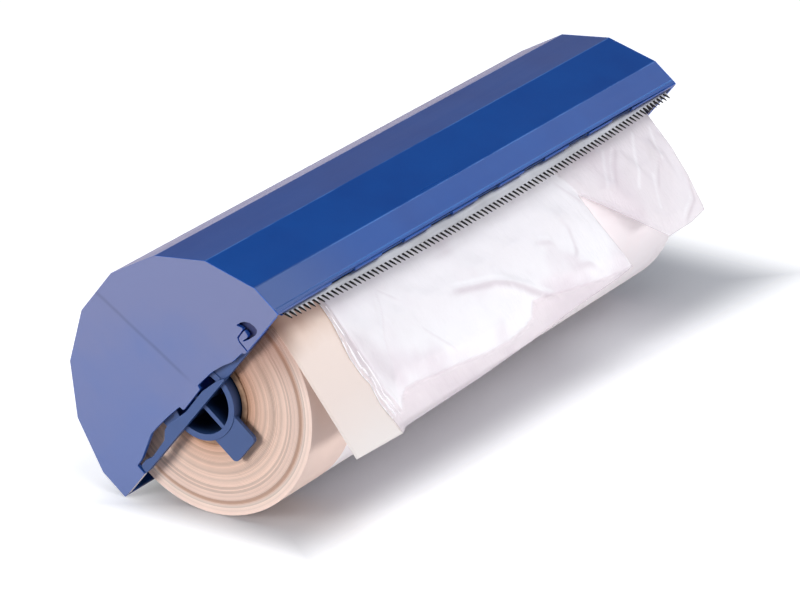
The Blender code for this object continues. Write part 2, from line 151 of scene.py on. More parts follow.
# %% Solids from outlines
def drawn_out(shape, faces, way):
    """Draw flat faces out into solids."""
    drawn = bmesh.ops.extrude_face_region(shape, geom=faces)
    moved = [item for item in drawn["geom"] if isinstance(item, bmesh.types.BMVert)]
    bmesh.ops.translate(shape, verts=moved, vec=way)
    return shape


def prism(outline, x_from, x_to, shape=None):
    """Draw a section outline out along the roll."""
    shape = shape or bmesh.new()
    face = shape.faces.new([shape.verts.new((x_from, y, z)) for y, z in outline])
    return drawn_out(shape, [face], (x_to - x_from, 0, 0))


def skin(rings, shape=None, closed=False):
    """Skin over a row of rings of points. It ends in two flat faces, or runs back to its first ring."""
    shape = shape or bmesh.new()
    rows = [[shape.verts.new(point) for point in ring] for ring in rings]
    pairs = list(zip(rows, rows[1:]))
    if closed:
        pairs.append((rows[-1], rows[0]))
    else:
        shape.faces.new(rows[0])
        shape.faces.new(rows[-1][::-1])
    for one, two in pairs:
        for j in range(len(one)):
            shape.faces.new((one[j - 1], one[j], two[j], two[j - 1]))
    return shape


def tube(outer, inner, x_from, x_to, sides, shape=None):
    """A ring with square ends about the roll axis."""
    profile = [(x_from, inner), (x_to, inner), (x_to, outer), (x_from, outer)]
    angles = [2 * math.pi * k / sides for k in range(sides)]
    rings = [[(x, r * math.cos(t), r * math.sin(t)) for x, r in profile] for t in angles]
    return skin(rings, shape, closed=True)


trial = tube(core_bore + core_wall, core_bore, 0, tape_width, 12)
print("a tube with 12 sides has", len(trial.faces), "faces")
trial.free()


# %% Objects, and the modifiers that finish them
def linked(name, data):
    """New object in the scene for a mesh, a lamp or a camera."""
    made = bpy.data.objects.new(name, data)
    bpy.context.scene.collection.objects.link(made)
    return made


def new_object(name, shape, look=None):
    """Object from a bmesh drawn in the section frame. Its vertices end up in the shared frame."""
    bmesh.ops.recalc_face_normals(shape, faces=shape.faces)
    mesh = bpy.data.meshes.new(name)
    shape.to_mesh(mesh)
    shape.free()
    mesh.transform(section)
    mesh.shade_smooth()
    if look:
        mesh.materials.append(look)
    return linked(name, mesh)


def settled(thing):
    """Freeze the modifiers of a piece into one plain mesh."""
    graph = bpy.context.evaluated_depsgraph_get()
    graph.update()
    mesh = bpy.data.meshes.new_from_object(thing.evaluated_get(graph))
    thing.modifiers.clear()
    old, thing.data = thing.data, mesh
    bpy.data.meshes.remove(old)
    mesh.name = thing.name
    return thing


def soften(thing, width, segments=2, angle=35):
    """Round the rims that are sharper than an angle, and keep the flats flat."""
    rim = thing.modifiers.new("rim", "BEVEL")
    rim.width = width
    rim.segments = segments
    rim.limit_method = "ANGLE"
    rim.angle_limit = math.radians(angle)
    rim.use_clamp_overlap = True
    flat = thing.modifiers.new("flats", "WEIGHTED_NORMAL")
    flat.mode = "FACE_AREA"
    flat.weight = 80
    flat.keep_sharp = True
    return thing


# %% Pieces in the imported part
def place(thing, body, finish, *nodes):
    """Let a piece ride on its body, in the place of its CAD node. Its finish is not used."""
    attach(thing, body)
    if nodes:
        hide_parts(*nodes)
    count = sum(len(face.vertices) - 2 for face in thing.data.polygons)
    print(thing.name, "rides on", body, "with", count, "triangles before its modifiers")


# %% [markdown]
# Every finish below is a Principled shader whose inputs are fed by small node trees. A constant goes
# straight onto the shader's socket. One function adds a node with its settings, values and links, and the
# others are short words for the nodes that come back in every finish.


# %% Colours and nodes
def hex_colour(code):
    """Linear colour of an sRGB code."""
    parts = [int(code[i:i + 2], 16) / 255 for i in (1, 3, 5)]
    return [v / 12.92 if v <= 0.04045 else ((v + 0.055) / 1.055) ** 2.4 for v in parts] + [1]


def add_node(tree, kind, settings=None, values=None, links=None):
    """Add a node with its settings, its constant inputs and its incoming links."""
    made = tree.nodes.new(kind)
    for key, value in (settings or {}).items():
        setattr(made, key, value)
    for key, value in (values or {}).items():
        made.inputs[key].default_value = value
    for key, source in (links or {}).items():
        tree.links.new(source, made.inputs[key])
    return made


print("mid grey is", round(hex_colour("#808080")[0], 3), "in linear light")


# %% Sums, and materials with their feeds
def calculated(tree, operation, *inputs):
    """Result of one sum. Each input is an output of another node or a constant number."""
    made = add_node(tree, "ShaderNodeMath", {"operation": operation})
    for socket, given in zip(made.inputs, inputs):
        if isinstance(given, bpy.types.NodeSocket):
            tree.links.new(given, socket)
        else:
            socket.default_value = given
    return made.outputs["Value"]


def product(tree, first, *others):
    for other in others:
        first = calculated(tree, "MULTIPLY", first, other)
    return first


def tree_and_shader(look):
    return look.node_tree, look.node_tree.nodes["Principled BSDF"]


def new_material(name, values):
    """Principled material with constant values on its own sockets."""
    made = bpy.data.materials.new(name)
    made.use_nodes = True
    tree, shader = tree_and_shader(made)
    for key, value in values.items():
        shader.inputs[key].default_value = value
    return made, tree, shader


def feed(shader, name, source):
    shader.id_data.links.new(source, shader.inputs[name])


# %% Short words for the nodes that come back
def colour_ramp(tree, source, stops):
    ramp = add_node(tree, "ShaderNodeValToRGB", links={"Fac": source})
    points = ramp.color_ramp.elements
    while len(points) < len(stops):
        points.new(0.5)
    for point, (where, code) in zip(points, stops):
        point.position = where
        point.color = hex_colour(code)
    return ramp.outputs["Color"]


def object_place(tree):
    return add_node(tree, "ShaderNodeTexCoord").outputs["Object"]


def attribute(tree, name):
    """Number that is stored on the mesh under a name."""
    return add_node(tree, "ShaderNodeAttribute", {"attribute_name": name}).outputs["Fac"]


def part_of(tree, vector, letter):
    return add_node(tree, "ShaderNodeSeparateXYZ", links={"Vector": vector}).outputs[letter]


def noise(tree, vector, scale, detail=2.0, roughness=0.5, stretch=None):
    """Noise whose scale is in lumps per metre, stretched by a factor along each axis."""
    if stretch:
        vector = add_node(tree, "ShaderNodeMapping", values={"Scale": stretch},
                          links={"Vector": vector}).outputs["Vector"]
    values = {"Scale": scale, "Detail": detail, "Roughness": roughness}
    return add_node(tree, "ShaderNodeTexNoise", values=values, links={"Vector": vector}).outputs["Fac"]


def scaled(tree, value, low, high, start=0.0, end=1.0):
    """Spread a value that runs from start to end evenly over another range."""
    values = {"From Min": start, "From Max": end, "To Min": low, "To Max": high}
    return add_node(tree, "ShaderNodeMapRange", values=values, links={"Value": value}).outputs["Result"]


def ranged(tree, value, low, high, at_low=0.0, at_high=1.0):
    """Soft step of a value between two limits."""
    values = {"From Min": low, "From Max": high, "To Min": at_low, "To Max": at_high}
    return add_node(tree, "ShaderNodeMapRange", {"interpolation_type": "SMOOTHSTEP"}, values,
                    {"Value": value}).outputs["Result"]


def bump(tree, height, distance, strength=1.0, normal=None):
    links = {"Height": height}
    if normal:
        links["Normal"] = normal
    return add_node(tree, "ShaderNodeBump", values={"Distance": distance, "Strength": strength},
                    links=links).outputs["Normal"]


# %% One more colour over the colour so far
def blended(tree, shader, share, code):
    """Mix one more colour over the base colour that a material has so far."""
    old = shader.inputs["Base Color"].links[0].from_socket
    mixed = add_node(tree, "ShaderNodeMix", {"data_type": "RGBA"}, {7: hex_colour(code)},
                     {0: share, 6: old})
    feed(shader, "Base Color", mixed.outputs[2])


def dimmed(tree, shader, share):
    """Dim or lighten the base colour that a material has so far by a factor."""
    old = shader.inputs["Base Color"].links[0].from_socket
    tinted = add_node(tree, "ShaderNodeVectorMath", {"operation": "SCALE"}, links={0: old, "Scale": share})
    feed(shader, "Base Color", tinted.outputs["Vector"])


# %% [markdown]
# ## Blue plastic
#
# The cover, plates and hubs are moulded in coloured polystyrene or ABS: refractive index 1.5, a satin
# skin, slight flow marks from the mould and a fine grain. The plates and hubs are the same kind of
# plastic, less glossy, and painted paler than the cover: a painted sheen for the light that their faces
# scatter, which on the plates also grows upwards. Painted light goes over that: painted highlights on the
# ridges between the facets and on the bead of the lip, a painted reflection on the lip towards the near
# end, clearer blue rims on the plates with a painted highlight and one straight edge painted nearly white
# as a highlight, painted shade over a sink mark on the plates, painted shade deep inside the hubs and a
# painted pale blue in the deep half that the bar covers, and a painted shadow behind the latch window.
# Each is laid on by its place in the section, so it stays with its piece when the piece moves.


# %% Where a place lies in the section
def from_point(tree, point):
    return add_node(tree, "ShaderNodeVectorMath", {"operation": "SUBTRACT"}, {1: point},
                    {0: object_place(tree)}).outputs["Vector"]


def along_way(tree, vector, way):
    """How far a vector reaches along a fixed direction."""
    return add_node(tree, "ShaderNodeVectorMath", {"operation": "DOT_PRODUCT"}, {1: way},
                    {0: vector}).outputs["Value"]


def in_section(tree, way):
    """How far a place lies from the roll axis along one direction."""
    return along_way(tree, from_point(tree, section.translation), way)


def end_facing(tree):
    """1 on the faces that look along the roll, and 0 on those that look across it."""
    facing = add_node(tree, "ShaderNodeNewGeometry").outputs["True Normal"]
    return calculated(tree, "ABSOLUTE", along_way(tree, facing, along_roll))


def sideways(tree):
    """1 on the faces that look across the roll, such as the rim of a plate, and 0 on its flat face."""
    return ranged(tree, end_facing(tree), 0.60, 0.85, 1.0, 0.0)


# %% Plastic
mould_waves = 0.12 * mm
cover_grain, plate_grain, hub_grain = 0.004 * mm, 0.006 * mm, 0.005 * mm


def moulded_plastic(name, dark, pale, roughness, grain, flow_along, rise=0.0):
    """Satin plastic: mottled colour, paler upwards by the rise as a painted gradient of light, streaks of
    flow and a fine grain.
    """
    made, tree, shader = new_material(name, {"IOR": 1.5, "Specular IOR Level": 0.5})
    where = object_place(tree)
    clouds = noise(tree, where, 28.0, 4.0, 0.6)
    # The rise paints the colour paler upwards: a painted gradient of light.
    if rise:
        height = scaled(tree, part_of(tree, where, "Z"), -rise / 2, rise / 2, 0.0, lying_height)
        clouds = calculated(tree, "ADD", clouds, height)
    feed(shader, "Base Color", colour_ramp(tree, clouds, [(0.30, dark), (0.70, pale)]))
    streaks = noise(tree, where, 160.0, 3.0, 0.6, stretch=flow_along)
    feed(shader, "Roughness", scaled(tree, streaks, *roughness))
    fine = noise(tree, where, 2600.0)
    waves = noise(tree, where, 45.0, stretch=flow_along)
    feed(shader, "Normal", bump(tree, waves, mould_waves, 0.35, bump(tree, fine, grain)))
    return made


cover_plastic = moulded_plastic("satin_blue_plastic", "#0C4290", "#0E4C9C", (0.24, 0.36),
                                cover_grain, (0.08, 1, 1))
# The plates and hubs are painted paler than the cover, a painted sheen; the plates also get the painted
# rise.
plate_plastic = moulded_plastic("pale_blue_plastic", "#5D6FA2", "#6A739D", (0.42, 0.55),
                                plate_grain, (1, 1, 1), rise=0.7)
hub_plastic = moulded_plastic("mid_blue_plastic", "#2C4878", "#335084", (0.38, 0.50),
                              hub_grain, (1, 1, 1))
print("plastics:", cover_plastic.name, plate_plastic.name, hub_plastic.name)


# %% Painted highlights and reflection on the cover
ridge_width = 0.45 * mm
bead_line_low, bead_line_high, bead_line_fade = 0.25 * mm, 0.05 * mm, 0.3 * mm
lip_fade_from, lip_fade_to = 0.1 * mm, 0.3 * mm


def bright_lines(look, painted_highlight_colour, painted_reflection_colour):
    """Painted highlights on the ridges between the facets, broken up by noise, and a painted bright line on
    the bead of the lip; and a painted reflection that makes the lip paler towards the near end."""
    tree, shader = tree_and_shader(look)
    along_y, along_z = in_section(tree, back_way), in_section(tree, crown_way)
    facet = calculated(tree, "DIVIDE", calculated(tree, "ARCTAN2", along_z, along_y), 2 * half_step)
    part = calculated(tree, "SUBTRACT", calculated(tree, "FRACT", facet), 0.5)
    line_share = ridge_width / (2 * half_step * section_radius)
    ridge = ranged(tree, calculated(tree, "ABSOLUTE", part), 0.0, line_share, 1.0, 0.0)
    # Painted highlight on the ridges, in patches.
    highlight_patches = ranged(tree, noise(tree, object_place(tree), 30.0, 3.0, 0.6), 0.40, 0.60, 0.15, 0.60)
    blended(tree, shader, product(tree, ridge, highlight_patches), painted_highlight_colour)
    front = ranged(tree, along_y, lip_fade_from - flat_radius, lip_fade_to - flat_radius, 1.0, 0.0)
    top = bead_height - edge_overhang
    # Painted highlight line along the bead of the lip.
    bead_low = ranged(tree, along_z, top - bead_line_low - bead_line_fade, top - bead_line_low)
    bead_high = ranged(tree, along_z, top + bead_line_high, top + bead_line_fade, 1.0, 0.0)
    bead = product(tree, bead_low, bead_high)
    blended(tree, shader, product(tree, scaled(tree, bead, 0.0, 0.9), front), painted_highlight_colour)
    # Painted reflection: the lip paler towards the near end.
    along = part_of(tree, object_place(tree), "X")
    near_end_reflection = ranged(tree, along, -half_length, -0.5 * half_length, 0.8, 0.0)
    blended(tree, shader, product(tree, near_end_reflection, front), painted_reflection_colour)


bright_lines(cover_plastic, "#5688D2", "#4A6096")
print("ridges on the cover are", round(ridge_width / mm, 2), "mm wide")


# %% Painted light and shade on the plates
highlit_height = 0.3 * mm
sink_half = 1.1 * mm
sink_fade = 8 * mm
sink_wander = 0.5 * mm
sink_low, sink_high = Vector((0, -4.5 * mm, 4.4 * mm)), Vector((0, 0, inner_flat))


def clear_rims(look, code, highlit):
    """The rim of a plate is a clearer blue with a painted highlight, and its straight edge near the back is
    painted nearly white as a highlight.
    """
    tree, shader = tree_and_shader(look)
    rim = sideways(tree)
    # The rims show the blue of the plastic without the painted sheen, plus a painted highlight.
    blended(tree, shader, scaled(tree, rim, 0.0, 0.85), code)
    # Painted white highlight on the straight edge near the back.
    back = ranged(tree, in_section(tree, back_way), 0.60 * section_radius, 0.66 * section_radius)
    height = in_section(tree, crown_way)
    low = ranged(tree, height, -edge_overhang, highlit_height - edge_overhang, 1.0, 0.0)
    blended(tree, shader, product(tree, back, low, rim), highlit)


def painted_sink_shade(look, low, high, depth_of_tint):
    """Painted shade: a faint darker line in a face over a rib that stands behind it, where the face sinks
    a little, from one point to another.
    """
    tree, shader = tree_and_shader(look)
    offset, run = from_point(tree, low), high - low
    up = along_way(tree, offset, run.normalized())
    aside = along_way(tree, offset, along_roll.cross(run).normalized())
    wander = scaled(tree, noise(tree, object_place(tree), 60.0, 3.0, 0.6), -sink_wander, sink_wander)
    aside = calculated(tree, "ABSOLUTE", calculated(tree, "ADD", aside, wander))
    near = ranged(tree, aside, 0.0, sink_half, 1.0, 0.0)
    mark = product(tree, near, ranged(tree, up, 0.0, sink_fade))
    # Painted shade along the sink mark.
    dimmed(tree, shader, scaled(tree, mark, 1.0, 1.0 - depth_of_tint))


clear_rims(plate_plastic, "#2C6CCB", "#F4F0F6")
painted_sink_shade(plate_plastic, section @ sink_low, section @ sink_high, 0.22)
print("scuffed edge of the plates is", round(highlit_height / mm, 2), "mm high")


# %% Painted shade inside the hubs
hollow_end = half_length - 6 * mm
hollow_start, dim_start = half_length - 3 * mm, half_length - 2.6 * mm
bar_edge, bar_fade = 1.0 * mm, 3.0 * mm


def shaded_inside(look, least, clear):
    """Deep inside a hub the colour is dimmed as painted shade, and in the half that the bar covers a pale
    blue is painted instead, as painted light.
    """
    tree, shader = tree_and_shader(look)
    far = calculated(tree, "ABSOLUTE", part_of(tree, object_place(tree), "X"))
    # Painted shade, deeper towards the inside.
    dimmed(tree, shader, scaled(tree, far, 1.0, least, dim_start, hollow_end))
    # Painted pale blue light in the deep half that the bar covers.
    deep = ranged(tree, far, hollow_end, hollow_start, 1.0, 0.0)
    upper = ranged(tree, in_section(tree, crown_way), bar_edge, bar_fade)
    blended(tree, shader, product(tree, deep, upper), clear)


def shadowed_seat(look, code):
    """The seat behind the latch window is painted a darker violet: a painted shadow."""
    tree, shader = tree_and_shader(look)
    across = in_section(tree, back_way)
    seat = ranged(tree, across, -0.60 * section_radius, -0.56 * section_radius, 0.8, 0.0)
    # Painted shadow on the seat.
    blended(tree, shader, seat, code)


shaded_inside(hub_plastic, 0.22, "#6C9CFF")
shadowed_seat(hub_plastic, "#1C1A48")
print("hubs are dark from", round((half_length - hollow_end) / mm, 1), "mm inside the end")

# %% [markdown]
# ## Cover
#
# The cover is one long moulding, 1.5 mm thick, with eight flat facets. Its front edge ends in a lip with
# a small bead. Shallow notches in the lip let the blade's clips snap in. It is drawn as one outline, with
# softly broken edges between the facets, and the notches are cut by a row of boxes.


# %% Cover
def section_outline(flat, overhang):
    """Half of a regular sixteen-sided polygon, back edge first."""
    radius = flat / math.cos(half_step)
    arc = [(radius * math.cos(half_step * (2 * k + 1)), radius * math.sin(half_step * (2 * k + 1)))
           for k in range(8)]
    return [(flat, -overhang)] + arc + [(-flat, -overhang)]


ledge_height, ledge_drop, ledge_reach = 1.0 * mm, 0.8 * mm, 2.2 * mm
clip_pitch = 28 * mm
clip_places = [clip_pitch * (k - 3.5) for k in range(8)]
notch_half, notch_height = 6.5 * mm, 0.7 * mm
plate_lip = 0.4 * mm
lip_clearance = 0.05 * mm
facet_round, cover_rim = 1.3 * mm, 0.14 * mm
overrun = 1 * mm


def make_cover():
    outer = section_outline(flat_radius, edge_overhang)[:-1]
    bead_top, bead_out = bead_height - edge_overhang, -flat_radius - bead_stand
    outer += [(-flat_radius, bead_top), (bead_out, bead_top - bead_stand), (bead_out, -edge_overhang)]
    inner = section_outline(inner_flat, edge_overhang)
    ledge_top = inner[-2][1] - ledge_drop
    ledge_low, ledge_in = ledge_top - ledge_height, ledge_reach - inner_flat
    ledge = [(-inner_flat, ledge_top), (ledge_in, ledge_top), (ledge_in, ledge_low),
             (-inner_flat, ledge_low)]
    inner = inner[:-1] + ledge + inner[-1:]
    reach = half_length - plate_lip - lip_clearance
    profile = rounded(outer + inner[::-1], facet_round)
    cover = new_object("cover", prism(profile, -reach, reach), cover_plastic)
    low, top = -edge_overhang - overrun, notch_height - edge_overhang
    out, into = -flat_radius - 2 * overrun, seam_gap - inner_flat
    notches = bmesh.new()
    for left, right in zip(clip_places, clip_places[1:]):
        middle = (left + right) / 2
        prism([(out, low), (out, top), (into, top), (into, low)], middle - notch_half,
              middle + notch_half, notches)
    cutter = new_object("notches", notches)
    cut = cover.modifiers.new("notches", "BOOLEAN")
    cut.object = cutter
    cut.operation = "DIFFERENCE"
    cut.solver = "EXACT"
    settled(cover)
    bpy.data.objects.remove(cutter)
    return soften(cover, cover_rim), ledge_low


cover, ledge_bottom = make_cover()
place(cover, "housing", "cover_plastic", "cover_shell")

# %% [markdown]
# ## End plates
#
# Each end plate is a flat moulding that closes the section. Its straight edge has a wavy recess for the
# hub's bar, and near the cutter a hooked latch arm is cut free by a comma-shaped window and a slit. The
# window and the slit run out to the straight edge, so the whole plate is one closed outline. The plate is
# stepped: a thin lip covers the end of the cover, flush with its facets, and the thicker part plugs into
# it. A rim and three ribs stand on its inner face.

# %% End plates
recess_shares = [
    (-0.574, -0.026), (-0.554, -0.005), (-0.446, 0.006), (-0.375, 0.035), (-0.269, 0.065),
    (-0.108, 0.081), (-0.100, 0.052), (0.118, 0.047), (0.122, 0.082), (0.240, 0.098),
    (0.351, 0.108), (0.453, 0.112), (0.500, 0.098), (0.580, 0.074), (0.660, 0.052),
    (0.722, 0.048), (0.7247, -0.026),
]
latch_shares = [
    (-0.6058, -0.026), (-0.6062, -0.018), (-0.6092, 0.050), (-0.618, 0.0708), (-0.674, 0.0748),
    (-0.6936, 0.0745), (-0.694, 0.063), (-0.687, 0.036), (-0.672, 0.031), (-0.636, 0.040),
    (-0.628, 0.034), (-0.660, 0.019), (-0.694, 0.010), (-0.732, 0.001), (-0.755, 0.002),
    (-0.774, 0.013), (-0.777, 0.044), (-0.768, 0.080), (-0.745, 0.108), (-0.716, 0.126),
    (-0.670, 0.140), (-0.692, 0.102), (-0.693, 0.0865), (-0.674, 0.0852), (-0.6135, 0.0812),
    (-0.5988, 0.0535), (-0.5958, -0.018), (-0.5954, -0.026),
]
plate_round, rim_round, rib_round, plate_rim = 0.6 * mm, 0.5 * mm, 0.2 * mm, 0.20 * mm
plug_clearance = 0.1 * mm
rim_wall, rim_reach = 1.2 * mm, 3 * mm
rib_wall, rib_reach = 1 * mm, 1.8 * mm
step_overlap, seat_overlap = 0.02 * mm, 0.2 * mm
flange_radius = hub_outer + 2 * mm
flange_top_share, guide_top_share, rib_top_share = 0.118, 0.56, 0.94


def depth(side, value):
    """Place along the roll, counted inwards from the end face on one side."""
    return side * (half_length - value)


def make_plate(name, side):
    cuts = shares(latch_shares) + shares(recess_shares)
    lip = section_outline(flat_radius, edge_overhang) + cuts
    shape = prism(rounded(lip, plate_round), depth(side, 0), depth(side, plate_lip))
    plug = section_outline(inner_flat - plug_clearance, edge_overhang) + cuts
    prism(rounded(plug, plate_round), depth(side, plate_lip - step_overlap), depth(side, plate_thickness),
          shape)

    seat = depth(side, plate_thickness - seat_overlap)
    rim_out = section_outline(inner_flat - seam_gap, 0)[1:-1]
    rim_in = section_outline(inner_flat - seam_gap - rim_wall, 0)[1:-1]
    prism(rounded(rim_out + rim_in[::-1], rim_round), seat, depth(side, plate_thickness + rim_reach), shape)

    edge = flange_radius + seam_gap
    guide = (flange_top_share * section_radius + seam_gap, guide_top_share * section_radius)
    middle_rib = (-rib_wall / 2, edge, rib_top_share * section_radius)
    ribs = (middle_rib, (-edge - rib_wall, *guide), (edge, *guide))
    for y, low, high in ribs:
        rib = [(y, low), (y + rib_wall, low), (y + rib_wall, high), (y, high)]
        prism(rounded(rib, rib_round), seat, depth(side, plate_thickness + rib_reach), shape)
    return soften(new_object(name, shape, plate_plastic), plate_rim)


for name, side, node in (("near_plate", -1, "left_end_plate"), ("far_plate", 1, "right_end_plate")):
    place(make_plate(name, side), "housing", "plate_plastic", node)

# %% [markdown]
# ## Hubs
#
# Each hub is one moulding: a webbed tube that fills the roll's core, a flange behind the end plate, a bar
# that lies in the plate's recess, and a tongue for the finger that draws the hub out.

# %% Hubs
bar_shares = [
    (-0.318, -0.031), (-0.252, 0.003), (-0.100, 0.034), (0.118, 0.030), (0.200, 0.047),
    (0.300, 0.068), (0.352, 0.060), (0.410, 0.020), (0.580, 0.008), (0.640, 0.030),
    (0.705, 0.029), (0.712, -0.031),
]
hub_front = plate_thickness + seam_gap
flange_front = hub_front + 0.3 * mm
flange_back = flange_front + 1.6 * mm
hub_reach = 28 * mm
flange_round, bar_round, hub_rim = 0.5 * mm, 0.9 * mm, 0.22 * mm
bar_setback = 0.2 * mm
web_half, web_reach, web_setback, web_step = 0.75 * mm, 9 * mm, 0.2 * mm, 0.05 * mm
tongue_half, tongue_round, tongue_end = 5.95 * mm, 1.6 * mm, 20.5 * mm
overlap = 0.3 * mm


def flange_outline():
    """Outline of the flange: the seat behind the latch, the round over the tube and the flat for the bar."""
    top = flange_top_share * section_radius
    lean = math.asin(top / flange_radius)
    bow = math.asin(edge_overhang / hub_outer)
    return [(-0.79 * section_radius, -edge_overhang),
            *shares([(-0.79, 0.165), (-0.60, 0.165), (-0.56, flange_top_share)]),
            *arc_points((0, 0), flange_radius, math.pi - lean, lean, 33),
            (0.35 * section_radius, top), (0.35 * section_radius, -edge_overhang),
            *arc_points((0, 0), hub_outer - overlap, -bow, math.pi + bow, 33)]


def make_hub(name, side):
    front, back = depth(side, flange_front), depth(side, flange_back)
    shape = prism(rounded(flange_outline(), flange_round), front, back)
    tube(hub_outer, hub_inner, depth(side, hub_front), depth(side, hub_reach), 96, shape)

    span = hub_inner + overlap
    web = [(-web_half, -span), (web_half, -span), (web_half, span), (-web_half, span)]
    web_front, web_back = depth(side, hub_front + web_setback), depth(side, hub_front + web_reach)
    prism(web, web_front, web_back, shape)
    prism([(-z, y) for y, z in web], web_front + side * web_step, web_back, shape)

    start = math.sqrt(hub_outer ** 2 - tongue_half ** 2) - overlap
    inset, low = tongue_half - tongue_round, tongue_round - tongue_end
    tongue = [(-tongue_half, -start), (tongue_half, -start)]
    tongue += arc_points((inset, low), tongue_round, 0, -math.pi / 2, 7)
    tongue += arc_points((-inset, low), tongue_round, -math.pi / 2, -math.pi, 7)
    prism(tongue, front, back, shape)
    prism(rounded(shares(bar_shares), bar_round), depth(side, bar_setback),
          depth(side, flange_front + bar_setback), shape)
    return soften(new_object(name, shape, hub_plastic), hub_rim)


for name, side, node in (("near_hub", -1, "left_hub"), ("far_hub", 1, "right_hub")):
    place(make_hub(name, side), "cradle", "hub_plastic", node)

# %% [markdown]
# ## Cutter
#
# The cutter is a strip of spring steel, 0.5 mm thick, blanked with 96 slanted needle teeth, whose tips lie
# on a shallow bow. The rolled strip has fine marks along its length, its blanked edges are painted dark as
# painted shade for the teeth's side faces, and the teeth are ground to thin points. One tooth is drawn, and
# a small node tree lays the copies along the bow.


# %% Steel
rolling_marks = 0.006 * mm


def rolled_steel(name):
    """Bright strip with fine marks along it, painted dark and not metallic on its cut faces as painted
    shade.
    """
    made, tree, shader = new_material(name, {"Metallic": 1.0})
    where = object_place(tree)
    marks = noise(tree, where, 1800.0, 3.0, 0.6, stretch=(0.02, 1, 1))
    tint = colour_ramp(tree, noise(tree, where, 90.0, 3.0), [(0.35, "#C6C1BD"), (0.65, "#D8D3CF")])
    feed(shader, "Base Color", tint)
    # Painted shade: the faces that look along the roll, the teeth's sides, are dark.
    cut = scaled(tree, end_facing(tree), 0.0, 1.0, 0.45, 0.60)
    blended(tree, shader, cut, "#16100F")
    feed(shader, "Metallic", scaled(tree, cut, 1.0, 0.0))
    feed(shader, "Roughness", scaled(tree, marks, 0.28, 0.46))
    feed(shader, "Normal", bump(tree, marks, rolling_marks))
    return made


cutter_steel = rolled_steel("rolled_strip_steel")
print("steel:", cutter_steel.name)


# %% Node tree that repeats one shape along the roll
row_inputs = {"One piece": "Geometry", "Count": "Int", "First place": "Vector", "Pitch": "Vector",
              "Sag": "Vector", "Half length": "Float", "Material": "Material"}


def row_tree():
    """Lay copies of the incoming mesh on a line or a shallow bow, from a first place and a pitch."""
    tree = bpy.data.node_groups.new("row_of_copies", "GeometryNodeTree")
    for name, kind in row_inputs.items():
        tree.interface.new_socket(name, in_out="INPUT", socket_type="NodeSocket" + kind)
    tree.interface.new_socket("Row", in_out="OUTPUT", socket_type="NodeSocketGeometry")
    given = tree.nodes.new("NodeGroupInput").outputs
    line = add_node(tree, "GeometryNodeMeshLine", {"mode": "OFFSET"},
                    links={"Count": given["Count"], "Start Location": given["First place"],
                           "Offset": given["Pitch"]}).outputs["Mesh"]
    at = part_of(tree, tree.nodes.new("GeometryNodeInputPosition").outputs["Position"], "X")
    part = calculated(tree, "DIVIDE", at, given["Half length"])
    rest = calculated(tree, "SUBTRACT", 1.0, product(tree, part, part))
    sag = add_node(tree, "ShaderNodeVectorMath", {"operation": "SCALE"},
                   links={0: given["Sag"], "Scale": rest}).outputs["Vector"]
    bowed = add_node(tree, "GeometryNodeSetPosition",
                     links={"Geometry": line, "Offset": sag}).outputs["Geometry"]
    copies = add_node(tree, "GeometryNodeInstanceOnPoints",
                      links={"Points": bowed, "Instance": given["One piece"]}).outputs["Instances"]
    real = add_node(tree, "GeometryNodeRealizeInstances", links={"Geometry": copies}).outputs["Geometry"]
    painted = add_node(tree, "GeometryNodeSetMaterial",
                       links={"Geometry": real, "Material": given["Material"]}).outputs["Geometry"]
    add_node(tree, "NodeGroupOutput", links={"Row": painted})
    return tree


row_of_copies = row_tree()
print("inputs of the row tree:", [item.name for item in row_of_copies.interface.items_tree])


# %% Use of the row tree, and joining of finished meshes
def repeat_along(thing, count, first, pitch, sag):
    """Run the row tree on one object and keep the result as its plain mesh."""
    step = thing.modifiers.new("row", "NODES")
    step.node_group = row_of_copies
    values = {"Count": count, "First place": (first, 0, 0), "Pitch": (pitch, 0, 0),
              "Sag": tuple(-sag * crown_way), "Half length": blade_half,
              "Material": thing.data.materials[0]}
    for item in row_of_copies.interface.items_tree:
        if item.item_type == "SOCKET" and item.name in values:
            step[item.identifier] = values[item.name]
    thing.update_tag()
    return settled(thing)


def joined(name, parts):
    """Join finished meshes into one new object."""
    shape = bmesh.new()
    for part in parts:
        shape.from_mesh(part.data)
    mesh = bpy.data.meshes.new(name)
    shape.to_mesh(mesh)
    shape.free()
    mesh.materials.append(parts[0].data.materials[0])
    mesh.shade_smooth()
    for part in parts:
        bpy.data.objects.remove(part)
    return linked(name, mesh)


# %% Toothed blade
blade_thickness = 0.5 * mm
blade_out = inner_flat - seam_gap
blade_in = blade_out - blade_thickness
blade_bow = 2.9 * mm
blade_below_ledge = 1.5 * mm
tooth_depth, tooth_foot, tooth_point = 2.5 * mm, 0.12 * mm, 0.25 * mm
end_tip = -edge_overhang - 2.6 * mm
end_root = end_tip + tooth_depth
tooth_count = 96
tooth_pitch = 2 * blade_half / tooth_count
ground_share = 0.24
peg_height, hole_radius = 2.6 * mm, 1.7 * mm


def make_tooth():
    """One needle tooth, ground thin at its tip: foot, shoulders and tip as five small rings."""
    # Each level is a height, its left and right end as shares of the pitch, and a share of the thickness.
    levels = [(end_root + tooth_foot, 0.00, 0.76, 1.0), (end_root, 0.00, 0.76, 1.0),
              (end_root - tooth_depth / 2, 0.30, 0.71, 0.9), (end_tip + tooth_point, 0.555, 0.675, 0.5),
              (end_tip, 0.62, 0.66, 0.25)]
    middle = -(blade_out + blade_in) / 2
    rings = []
    for z, left, right, thin in levels:
        half = blade_thickness / 2 * thin
        corners = [(left + ground_share * thin, -half), (right, -half), (right, half), (left, half)]
        rings.append([(tooth_pitch * x, middle + y, z) for x, y in corners])
    return new_object("tooth", skin(rings), cutter_steel)


